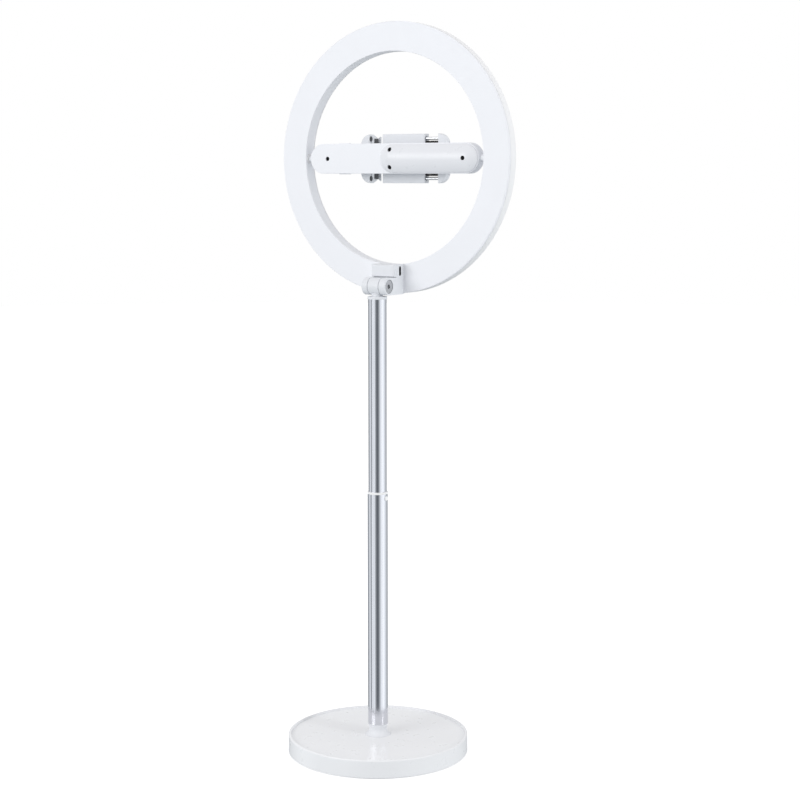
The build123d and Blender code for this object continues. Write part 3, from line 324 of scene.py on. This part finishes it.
finish_of_slot = {
    "matt_white_abs": spark_eroded_white_abs,
    "satin_white_abs": satin_moulded_white_abs,
    "opal_diffuser": opal_moulded_polycarbonate,
    "satin_chrome_tube": satin_chromed_steel_tube,
    "chromed_rod": bright_chromed_rod,
    "nickel_bolt": nickelled_turned_steel,
    "nickel_shell": drawn_nickelled_shell,
    "raw_steel": oiled_steel_plate,
    "zinc_steel": zinc_plated_steel,
    "spring_steel": oiled_spring_wire,
    "black_screw": black_oxide_steel,
    "black_switch": black_moulded_nylon,
    "grey_rubber": moulded_silicone_rubber,
    "natural_acetal": turned_acetal,
    "green_board": green_solder_mask,
    "white_board": white_solder_mask,
    "led_phosphor": led_phosphor,
    "lead_insulation": extruded_pvc,
}
made_finishes = {}


def finish(maker):
    """The material that one of the makers above gives, made once."""
    if maker not in made_finishes:
        made_finishes[maker] = maker(bpy.context.scene.ring_light_colours)
    return made_finishes[maker]


def give_finish(piece, slot_name, maker=None):
    """Gives a piece its slot's finish, or a closer match within the same slot."""
    piece.data.materials.clear()
    piece.data.materials.append(finish(maker or finish_of_slot[slot_name]))


# ------------------------------------------------------------------ modelling helpers

def object_mode():
    """Leaves edit mode, so that selections and meshes are up to date."""
    bpy.ops.object.mode_set(mode="OBJECT")


def deselect():
    """Leaves edit mode where needed and selects nothing."""
    if bpy.context.object and bpy.context.object.mode != "OBJECT":
        object_mode()
    bpy.ops.object.select_all(action="DESELECT")


def make_active(piece):
    bpy.context.view_layer.objects.active = piece


def apply_place():
    """Puts the active piece's place, turn and size into its mesh."""
    bpy.ops.object.transform_apply(location=True, rotation=True, scale=True)


def pick(piece, kind, indices):
    """Goes to edit mode with only the faces or edges at these indices selected."""
    bpy.ops.object.mode_set(mode="EDIT")
    bpy.ops.mesh.select_mode(type=kind)
    bpy.ops.mesh.select_all(action="DESELECT")
    object_mode()
    parts = piece.data.polygons if kind == "FACE" else piece.data.edges
    for index in indices:
        parts[index].select = True
    bpy.ops.object.mode_set(mode="EDIT")


def pick_front_face(piece):
    """Goes to edit mode with only the flat face that looks along -Y selected."""
    pick(piece, "FACE", [face.index for face in piece.data.polygons if face.normal.y < -0.9])


def pick_edges(piece, wanted):
    """Goes to edit mode with the edges selected whose two ends are wanted."""
    object_mode()
    points = piece.data.vertices
    pick(piece, "EDGE", [edge.index for edge in piece.data.edges
                         if all(wanted(points[end].co) for end in edge.vertices)])


def soften(piece, width):
    """Rounds all of a block's edges."""
    pick_edges(piece, lambda point: True)
    bpy.ops.mesh.bevel(offset=width, segments=3, profile=0.5)
    object_mode()


def block_between(low, high):
    """A cube stretched between two corners, with its size applied."""
    deselect()
    size = Vector(high) - Vector(low)
    bpy.ops.mesh.primitive_cube_add(size=1, location=(Vector(low) + Vector(high)) / 2, scale=size)
    apply_place()
    return bpy.context.object


def copy_moved(piece, offset):
    """A copy with its own mesh, moved by an offset that goes into the mesh."""
    twin = piece.copy()
    twin.data = piece.data.copy()
    bpy.context.collection.objects.link(twin)
    for vertex in twin.data.vertices:
        vertex.co += Vector(offset)
    return twin


def join(pieces, name, smooth_angle=35):
    """One named piece from several, shaded smooth up to an angle in degrees."""
    deselect()
    for piece in pieces:
        piece.select_set(True)
    piece = pieces[0]
    make_active(piece)
    bpy.ops.object.join()
    piece.name = name
    piece.data.name = name
    bpy.ops.object.shade_smooth_by_angle(angle=radians(smooth_angle))
    return piece


def stand_in_for(piece, node, slot_name):
    """Hands a finished piece to the frame in place of a CAD node."""
    give_finish(piece, slot_name)
    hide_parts(node)
    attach(piece, frame["nodes"][node]["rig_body"])


def finish_nodes(names, maker=None):
    """Gives CAD nodes their slots' finishes, or one closer match for all of them."""
    slots = {row["node"]: row["material_slot"] for row in frame["record"]["subparts"]}
    for name in names:
        give_finish(frame["nodes"][name], slots[name], maker)


# ------------------------------------------------------------------ settings

class RingLightColours(bpy.types.PropertyGroup):
    """Colours of the finishes that a user would change."""
    case_white: FloatVectorProperty(
        name="Cases", description="White of the ring's back and the crossbar", subtype="COLOR",
        size=3, min=0, max=1, default=linear("#F3F4F8"))
    # Partly the joints' own greyer plastic and partly painted shade, which darkens the hinge, the housing, the
    # clamp and the pole's foot.
    joint_white_and_shade: FloatVectorProperty(
        name="Joints", description="White of the hinge, the clamp and the pole's foot", subtype="COLOR",
        size=3, min=0, max=1, default=linear("#E6E8EC"))
    base_white: FloatVectorProperty(
        name="Base", description="White of the base", subtype="COLOR",
        size=3, min=0, max=1, default=linear("#F0F1F3"))
    diffuser_white: FloatVectorProperty(
        name="Diffuser", description="White of the opal front with its light off", subtype="COLOR",
        size=3, min=0, max=1, default=linear("#FAFAFB"))
    pole_metal: FloatVectorProperty(
        name="Pole", description="Colour of the satin chromed tubes", subtype="COLOR",
        size=3, min=0, max=1, default=linear("#DFE0E6"))
    rubber_grey: FloatVectorProperty(
        name="Rubber", description="Grey of the mat under the base and of the clamp's grips", subtype="COLOR",
        size=3, min=0, max=1, default=linear("#56575A"))
    screw_black: FloatVectorProperty(
        name="Screws", description="Black of the crossbar's small screws", subtype="COLOR",
        size=3, min=0, max=1, default=linear("#1B1B1C"))


class RingLightSizes(bpy.types.PropertyGroup):
    """Sizes of the small detail pieces, which fit inside their CAD solids."""
    spring_wire: FloatProperty(
        name="Spring wire", description="Thickness of the jaw springs' wire", unit="LENGTH",
        default=0.4 * mm, min=0.1 * mm, max=0.8 * mm)
    spring_pitch: FloatProperty(
        name="Spring pitch", description="Distance between the turns of the stretched jaw springs",
        unit="LENGTH", default=0.75 * mm, min=0.4 * mm, max=3 * mm)
    recess_depth: FloatProperty(
        name="Screw recess", description="Depth of the cross in each small screw's head", unit="LENGTH",
        default=0.6 * mm, min=0.2 * mm, max=0.9 * mm)
    rib_width: FloatProperty(
        name="Grip rib width", description="Width of the ribs on the clamp's rubber", unit="LENGTH",
        default=1.2 * mm, min=0.4 * mm, max=4 * mm)
    rib_height: FloatProperty(
        name="Grip rib height", description="Height of the ribs on the clamp's rubber", unit="LENGTH",
        default=0.35 * mm, min=0.1 * mm, max=0.6 * mm)
    sheet_ribs: IntProperty(
        name="Sheet ribs", description="Number of ribs on the sheet that the phone lies on",
        default=13, min=3, max=31)
    jaw_ribs: IntProperty(
        name="Jaw ribs", description="Number of ribs on each jaw's strip", default=15, min=3, max=31)


class RingLightStudio(bpy.types.PropertyGroup):
    """Camera and lights."""
    lens: FloatProperty(
        name="Lens", description="Focal length of the camera", unit="CAMERA", default=78.98, min=20, max=300)
    key_power: FloatProperty(
        name="Key light", description="Power of the large soft box", unit="POWER",
        default=26.0, min=0, max=500)
    strip_power: FloatProperty(
        name="Strip light", description="Power of the narrow soft box in the ring's own plane",
        unit="POWER", default=12.0, min=0, max=500)
    surround: FloatProperty(
        name="Surround", description="Brightness of the room above eye level", default=0.8, min=0, max=3)


# ------------------------------------------------------------------ operators

class RINGLIGHT_OT_cases(bpy.types.Operator):
    """Gives the ring's back, the crossbar, the hinge and the clamp their moulded whites"""
    bl_idname = "ringlight.finish_cases"
    bl_label = "Finish cases"

    def execute(self, context):
        finish_nodes(["rear_cover", "crossbar_rear", "crossbar_front", "upper_key", "lower_key"])
        # The hinge, housing and clamp take the greyer joint white, which is partly painted shade.
        finish_nodes([
            "port_housing", "housing_cap", "hinge_knuckle", "hollow_pivot_pin", "solid_pivot_pin",
            "clamp_body", "clamp_plate", "sliding_jaw"], glass_filled_nylon_and_painted_shade)
        # The pod takes a darker copy of the cases' white as painted shade.
        finish_nodes(["bar_pod"], polished_white_abs_painted_shade)
        return {"FINISHED"}


class RINGLIGHT_OT_base(bpy.types.Operator):
    """Gives the base, its weight and mat, and the pole's foot their finishes"""
    bl_idname = "ringlight.finish_base"
    bl_label = "Finish base"

    def execute(self, context):
        finish_nodes(["base_cover", "base_pad", "weight_plate", "weight_screws", "pole_bolt"])
        # The pole's foot takes the greyer joint white, which is partly painted shade from the pole above it.
        finish_nodes(["pole_socket"], glass_filled_nylon_and_painted_shade)
        return {"FINISHED"}


class RINGLIGHT_OT_pole(bpy.types.Operator):
    """Gives the two tubes, the collar and the glide bush their finishes"""
    bl_idname = "ringlight.finish_pole"
    bl_label = "Finish pole"

    def execute(self, context):
        finish_nodes(["lower_tube", "upper_tube", "pole_collar", "glide_bush"])
        return {"FINISHED"}


class RINGLIGHT_OT_lamp(bpy.types.Operator):
    """Gives the diffuser, the LED board and its chips their finishes"""
    bl_idname = "ringlight.finish_lamp"
    bl_label = "Finish lamp"

    def execute(self, context):
        finish_nodes(["diffuser", "led_board", "led_chips", "led_board_screws", "led_leads"])
        return {"FINISHED"}


class RINGLIGHT_OT_hardware(bpy.types.Operator):
    """Gives the hinge, swivel and housing hardware, the bushes and the guide rods their finishes"""
    bl_idname = "ringlight.finish_hardware"
    bl_label = "Finish hardware"

    def execute(self, context):
        finish_nodes([
            "hinge_bolt", "hinge_nut", "hinge_washers", "housing_screws", "pivot_bushes", "pivot_clips",
            "swivel_bolt", "swivel_washer", "swivel_spring_washer", "swivel_nut", "guide_rods", "bore_plugs"])
        return {"FINISHED"}


class RINGLIGHT_OT_electrics(bpy.types.Operator):
    """Gives the socket, the boards, the switches and the control lead their finishes"""
    bl_idname = "ringlight.finish_electrics"
    bl_label = "Finish electrics"

    def execute(self, context):
        finish_nodes(["usb_c_socket", "port_board", "key_board", "key_switches", "control_lead"])
        return {"FINISHED"}


screw_head_t = 1.0 * mm
screw_tip = 0.4 * mm        # length of the narrowing tip
screw_tip_share = 0.45      # its end's width as a share of the shank's
cross_width = 0.45 * mm
cross_share = 1.15          # length of the cross in head radii
cross_taper = 0.7           # its bottom's width as a share of its top's
screw_reach = 4 * mm        # no two points of one screw are further apart than this across its axis


class RINGLIGHT_OT_screws(bpy.types.Operator):
    """Models the crossbar's small cross-head screws"""
    bl_idname = "ringlight.make_screws"
    bl_label = "Make crossbar screws"

    def execute(self, context):
        sizes = context.scene.ring_light_sizes
        screws = [self.screw(points, sizes.recess_depth) for points in self.screw_groups()]
        stand_in_for(join(screws, "crossbar_screws"), "bar_screws", "black_screw")
        return {"FINISHED"}

    def screw_groups(self):
        """The CAD node's points, gathered by the screw that they belong to."""
        groups = []
        for vertex in frame["nodes"]["bar_screws"].data.vertices:
            point = vertex.co.copy()
            for group in groups:
                if abs(group[0].x - point.x) < screw_reach and abs(group[0].z - point.z) < screw_reach:
                    group.append(point)
                    break
            else:
                groups.append([point])
        return groups

    def screw(self, points, recess_depth):
        """One screw with a pan head, a cross recess and a plain shank, between its CAD solid's ends."""
        lowest = Vector(min(point[axis] for point in points) for axis in range(3))
        highest = Vector(max(point[axis] for point in points) for axis in range(3))
        centre = (lowest + highest) / 2
        head_r = (highest.x - lowest.x) / 2
        end_radii = [(point - Vector((centre.x, point.y, centre.z))).length
                     for point in points if point.y < lowest.y + 0.1 * mm]
        shank_r = min(radius for radius in end_radii if radius > 0.3 * mm)
        top = highest.y
        under_head = top - screw_head_t
        deselect()
        bpy.ops.mesh.primitive_cylinder_add(
            vertices=40, radius=head_r, depth=screw_head_t, rotation=(radians(90), 0, 0),
            location=(centre.x, top - screw_head_t / 2, centre.z))
        screw = bpy.context.object
        apply_place()
        pick_edges(screw, lambda point: abs(point.y - top) < tiny)
        bpy.ops.mesh.bevel(offset=0.3 * mm, segments=4, profile=0.6)
        object_mode()
        pick_front_face(screw)
        bpy.ops.mesh.inset(thickness=head_r - shank_r, depth=0)
        for length in (under_head - lowest.y - screw_tip, screw_tip):
            bpy.ops.mesh.extrude_region_move(TRANSFORM_OT_translate={"value": (0, -length, 0)})
        bpy.ops.transform.resize(value=(screw_tip_share, 1, screw_tip_share))
        object_mode()
        cross_length = head_r * cross_share
        for wide, tall in ((cross_length, cross_width), (cross_width, cross_length)):
            self.cut_recess(screw, Vector((centre.x, top, centre.z)), Vector((wide, 2 * recess_depth, tall)))
        return screw

    def cut_recess(self, screw, centre, size):
        """Cuts one arm of the cross, which narrows towards its bottom."""
        cutter = block_between(centre - size / 2, centre + size / 2)
        pick_front_face(cutter)
        bpy.ops.transform.resize(value=(cross_taper, 1, cross_taper))
        deselect()
        screw.select_set(True)
        make_active(screw)
        cut = screw.modifiers.new("Recess", "BOOLEAN")
        cut.operation = "DIFFERENCE"
        cut.solver = "EXACT"
        cut.object = cutter
        bpy.ops.object.modifier_apply(modifier=cut.name)
        bpy.data.objects.remove(cutter)


class RINGLIGHT_OT_springs(bpy.types.Operator):
    """Winds the two extension springs that pull the sliding jaw in"""
    bl_idname = "ringlight.make_springs"
    bl_label = "Make jaw springs"

    def execute(self, context):
        sizes = context.scene.ring_light_sizes
        low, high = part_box("jaw_springs")
        coil_r = (high.y - low.y) / 2
        middle_y = (high.y + low.y) / 2
        wire_r = sizes.spring_wire / 2
        turns = int((high.x - low.x) / sizes.spring_pitch)
        springs = []
        for centre_z in (low.z + coil_r, high.z - coil_r):
            deselect()
            bpy.ops.mesh.primitive_circle_add(
                vertices=7, radius=wire_r, fill_type="NGON", rotation=(radians(90), 0, 0),
                location=(low.x + wire_r, middle_y, centre_z + coil_r - wire_r))
            coil = bpy.context.object
            apply_place()
            # The wire is wound round the X axis and then goes back to its own axis.
            for vertex in coil.data.vertices:
                vertex.co -= Vector((0, middle_y, centre_z))
            wind = coil.modifiers.new("Wind", "SCREW")
            wind.axis = "X"
            wind.angle = 2 * pi * turns
            wind.screw_offset = high.x - low.x - 2 * wire_r
            wind.steps = 14 * turns
            wind.render_steps = 14 * turns
            wind.use_merge_vertices = False
            bpy.ops.object.modifier_apply(modifier=wind.name)
            for vertex in coil.data.vertices:
                vertex.co += Vector((0, middle_y, centre_z))
            bpy.ops.object.mode_set(mode="EDIT")
            bpy.ops.mesh.select_all(action="SELECT")
            bpy.ops.mesh.remove_doubles(threshold=tiny)
            bpy.ops.mesh.normals_make_consistent(inside=False)
            object_mode()
            springs.append(coil)
        stand_in_for(join(springs, "jaw_coil_springs", 60), "jaw_springs", "spring_steel")
        return {"FINISHED"}


rib_root = 0.2 * mm         # how deep the ribs reach into the rubber's back layer, so that no gap shows


def ribbed(name, base_low, base_high, rib_low, rib_high, count, step):
    """A rubber sheet with rounded ribs on it, a step apart along Z, joined into one named piece."""
    sheet = block_between(base_low, base_high)
    soften(sheet, 0.15 * mm)
    rib = block_between(rib_low, rib_high)
    soften(rib, 0.12 * mm)
    more_ribs = [copy_moved(rib, (0, 0, step * number)) for number in range(1, count)]
    return join([sheet, rib] + more_ribs, name)


class RINGLIGHT_OT_sheet(bpy.types.Operator):
    """Models the ribbed rubber sheet that the phone lies on"""
    bl_idname = "ringlight.make_clamp_sheet"
    bl_label = "Make clamp sheet"

    def execute(self, context):
        sizes = context.scene.ring_light_sizes
        low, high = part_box("clamp_pad")
        face = low.y + sizes.rib_height
        margin = 2.5 * mm
        step = (high.z - low.z - 2 * margin - sizes.rib_width) / (sizes.sheet_ribs - 1)
        piece = ribbed(
            "ribbed_clamp_sheet", (low.x, face, low.z), high,
            (low.x + margin, low.y, low.z + margin),
            (high.x - margin, face + rib_root, low.z + margin + sizes.rib_width),
            sizes.sheet_ribs, step)
        stand_in_for(piece, "clamp_pad", "grey_rubber")
        return {"FINISHED"}


class RINGLIGHT_OT_strips(bpy.types.Operator):
    """Models the ribbed rubber strips on the two jaws"""
    bl_idname = "ringlight.make_jaw_strips"
    bl_label = "Make jaw strips"

    def execute(self, context):
        sizes = context.scene.ring_light_sizes
        margin = 1.0 * mm
        for node, name in (("fixed_jaw_pad", "fixed_jaw_strip"), ("sliding_jaw_pad", "sliding_jaw_strip")):
            low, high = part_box(node)
            step = (high.z - low.z - 2 * margin - sizes.rib_width) / (sizes.jaw_ribs - 1)
            if node == "fixed_jaw_pad":
                face = low.x + sizes.rib_height
                sheet_x, rib_x = (face, high.x), (low.x, face + rib_root)
            else:
                face = high.x - sizes.rib_height
                sheet_x, rib_x = (low.x, face), (face - rib_root, high.x)
            piece = ribbed(
                name, (sheet_x[0], low.y, low.z), (sheet_x[1], high.y, high.z),
                (rib_x[0], low.y + margin / 2, low.z + margin),
                (rib_x[1], high.y - margin / 2, low.z + margin + sizes.rib_width),
                sizes.jaw_ribs, step)
            stand_in_for(piece, node, "grey_rubber")
        return {"FINISHED"}


# Brightness of the room's panels at bearings from +X round to the left, in degrees.
# The tubes mirror these panels as bands that run their whole height.
panel_levels = (
    (-180, 1.34), (-160, 1.3), (-143, 1.02), (-123, 0.7), (-93, 0.42), (-41, 0.26), (-16, 0.34), (6, 0.66),
    (24, 1.06), (36, 0.56), (43, 0.24), (50, 0.6), (58, 1.2), (70, 0.92), (84, 1.14), (96, 0.58), (108, 0.23),
    (121, 0.13), (134, 0.22), (145, 0.56), (158, 0.92), (171, 1.26), (180, 1.36))


class RINGLIGHT_OT_stage(bpy.types.Operator):
    """Lays the pale floor and sets up the soft studio light and the camera"""
    bl_idname = "ringlight.make_stage"
    bl_label = "Make stage"

    def execute(self, context):
        studio = context.scene.ring_light_studio
        self.floor()
        self.surround(context, studio.surround)
        self.soft_box("Key", (1.0, 2.6, 1.2), (0, 0, 0.5), (1.8, 1.2), studio.key_power)
        self.soft_box("Strip", (-2.6, 0, 1.3), (0, 0, 0.5), (0.35, 1.4), studio.strip_power)
        self.camera(context, studio.lens)
        context.scene.view_settings.view_transform = "Standard"
        return {"FINISHED"}

    def floor(self):
        """A large light table: pale, lit a little from below, and kept out of the object's own light."""
        deselect()
        bpy.ops.mesh.primitive_circle_add(vertices=96, radius=6, fill_type="NGON", location=(0, 0, 0))
        floor = bpy.context.object
        floor.name = "floor"
        material, tree, shader, place = start_material("Opal acrylic light table")
        grain = add_node(tree, "ShaderNodeTexNoise", {"Scale": 40.0, "Detail": 2.0}, {"Vector": place})
        tint = shade_between(tree, grain.outputs["Fac"], linear("#F2F2F3", True), linear("#F6F6F6", True))
        tree.links.new(tint, shader.inputs["Base Color"])
        shader.inputs["Roughness"].default_value = 0.9
        shader.inputs["Specular IOR Level"].default_value = 0.1
        shader.inputs["Emission Color"].default_value = linear("#FFFFFF", True)
        shader.inputs["Emission Strength"].default_value = 0.4
        floor.data.materials.append(material)
        floor.visible_diffuse = False
        floor.visible_glossy = False

    def surround(self, context, strength):
        """A white room: light and dark panels stand all round below eye level, with an even glow above."""
        world = bpy.data.worlds.new("White room")
        context.scene.world = world
        world.use_nodes = True
        tree = world.node_tree
        background = tree.nodes["Background"]
        direction = add_node(tree, "ShaderNodeTexCoord")
        parts = add_node(tree, "ShaderNodeSeparateXYZ", links={"Vector": direction.outputs["Generated"]})
        bearing = add_node(tree, "ShaderNodeMath", operation="ARCTAN2",
                           links={0: parts.outputs["Y"], 1: parts.outputs["X"]})
        turn = add_node(tree, "ShaderNodeMapRange", {"From Min": -pi, "From Max": pi},
                        {"Value": bearing.outputs["Value"]})
        panels = add_node(tree, "ShaderNodeValToRGB", links={"Fac": turn.outputs["Result"]})
        ramp = panels.color_ramp
        for bearing_degrees, level in panel_levels:
            spot = ramp.elements.new(bearing_degrees / 360 + 0.5)
            # The darker a panel, the cooler its grey.
            spot.color = (level * 0.985, level * 1.01 + 0.012, level * 1.02 + 0.025, 1)
        # The ramp's own two end stops go.
        ramp.elements.remove(ramp.elements[0])
        ramp.elements.remove(ramp.elements[-1])
        height = add_node(tree, "ShaderNodeMapRange", {"From Min": -0.05, "From Max": 0.25},
                          {"Value": parts.outputs["Z"]}, interpolation_type="SMOOTHSTEP")
        glow = add_node(tree, "ShaderNodeMix", data_type="RGBA",
                        links={"Factor": height.outputs["Result"], "A": panels.outputs["Color"]})
        glow.inputs["B"].default_value = (strength, strength, strength * 1.01, 1)
        # The room itself is seen as plain white behind the object.
        seen = add_node(tree, "ShaderNodeLightPath")
        shown = add_node(tree, "ShaderNodeMix", data_type="RGBA",
                         links={"Factor": seen.outputs["Is Camera Ray"], "A": glow.outputs["Result"]})
        shown.inputs["B"].default_value = (1, 1, 1, 1)
        tree.links.new(shown.outputs["Result"], background.inputs["Color"])

    def soft_box(self, name, place, target, size, power):
        """A rectangular area light that faces its target."""
        bpy.ops.object.light_add(type="AREA", location=place)
        lamp = bpy.context.object
        lamp.name = name
        lamp.data.shape = "RECTANGLE"
        lamp.data.size, lamp.data.size_y = size
        lamp.data.energy = power
        self.aim(lamp, Vector(target) - Vector(place))

    def camera(self, context, lens):
        """Looks at the back of the light, a little from its -X side and from above the table."""
        bpy.ops.object.camera_add(location=(-0.9144, 1.3691, 0.5523))
        camera = bpy.context.object
        camera.name = "Camera"
        camera.data.sensor_width = 36
        camera.data.lens = lens
        self.aim(camera, Vector((0.54020, -0.83190, -0.12703)))
        context.scene.camera = camera

    def aim(self, thing, direction):
        """Turns a lamp or the camera to look along a direction, with its top upwards."""
        thing.rotation_mode = "QUATERNION"
        thing.rotation_quaternion = direction.to_track_quat("-Z", "Y")


class RINGLIGHT_PT_panel(bpy.types.Panel):
    """Lists the ring light's settings and the steps that build it"""
    bl_idname = "RINGLIGHT_PT_panel"
    bl_label = "Ring light"
    bl_space_type = "VIEW_3D"
    bl_region_type = "UI"
    bl_category = "Ring light"

    def draw(self, context):
        layout = self.layout
        for group in ("ring_light_colours", "ring_light_sizes", "ring_light_studio"):
            settings = getattr(context.scene, group)
            box = layout.box()
            for key in settings.bl_rna.properties.keys():
                if key not in ("rna_type", "name"):
                    box.prop(settings, key)
        for step in steps:
            layout.operator(step.bl_idname)


steps = (
    RINGLIGHT_OT_cases,
    RINGLIGHT_OT_base,
    RINGLIGHT_OT_pole,
    RINGLIGHT_OT_lamp,
    RINGLIGHT_OT_hardware,
    RINGLIGHT_OT_electrics,
    RINGLIGHT_OT_screws,
    RINGLIGHT_OT_springs,
    RINGLIGHT_OT_sheet,
    RINGLIGHT_OT_strips,
    RINGLIGHT_OT_stage,
)
setting_groups = (RingLightColours, RingLightSizes, RingLightStudio)


def register():
    for group in setting_groups:
        bpy.utils.register_class(group)
    bpy.types.Scene.ring_light_colours = PointerProperty(type=RingLightColours)
    bpy.types.Scene.ring_light_sizes = PointerProperty(type=RingLightSizes)
    bpy.types.Scene.ring_light_studio = PointerProperty(type=RingLightStudio)
    for step in steps:
        bpy.utils.register_class(step)
    bpy.utils.register_class(RINGLIGHT_PT_panel)


def unregister():
    bpy.utils.unregister_class(RINGLIGHT_PT_panel)
    for step in reversed(steps):
        bpy.utils.unregister_class(step)
    del bpy.types.Scene.ring_light_studio
    del bpy.types.Scene.ring_light_sizes
    del bpy.types.Scene.ring_light_colours
    for group in reversed(setting_groups):
        bpy.utils.unregister_class(group)


def main():
    register()
    bpy.ops.ringlight.finish_cases()
    bpy.ops.ringlight.finish_base()
    bpy.ops.ringlight.finish_pole()
    bpy.ops.ringlight.finish_lamp()
    bpy.ops.ringlight.finish_hardware()
    bpy.ops.ringlight.finish_electrics()
    bpy.ops.ringlight.make_screws()
    bpy.ops.ringlight.make_springs()
    bpy.ops.ringlight.make_clamp_sheet()
    bpy.ops.ringlight.make_jaw_strips()
    bpy.ops.ringlight.make_stage()


if __name__ == "__main__":
    main()
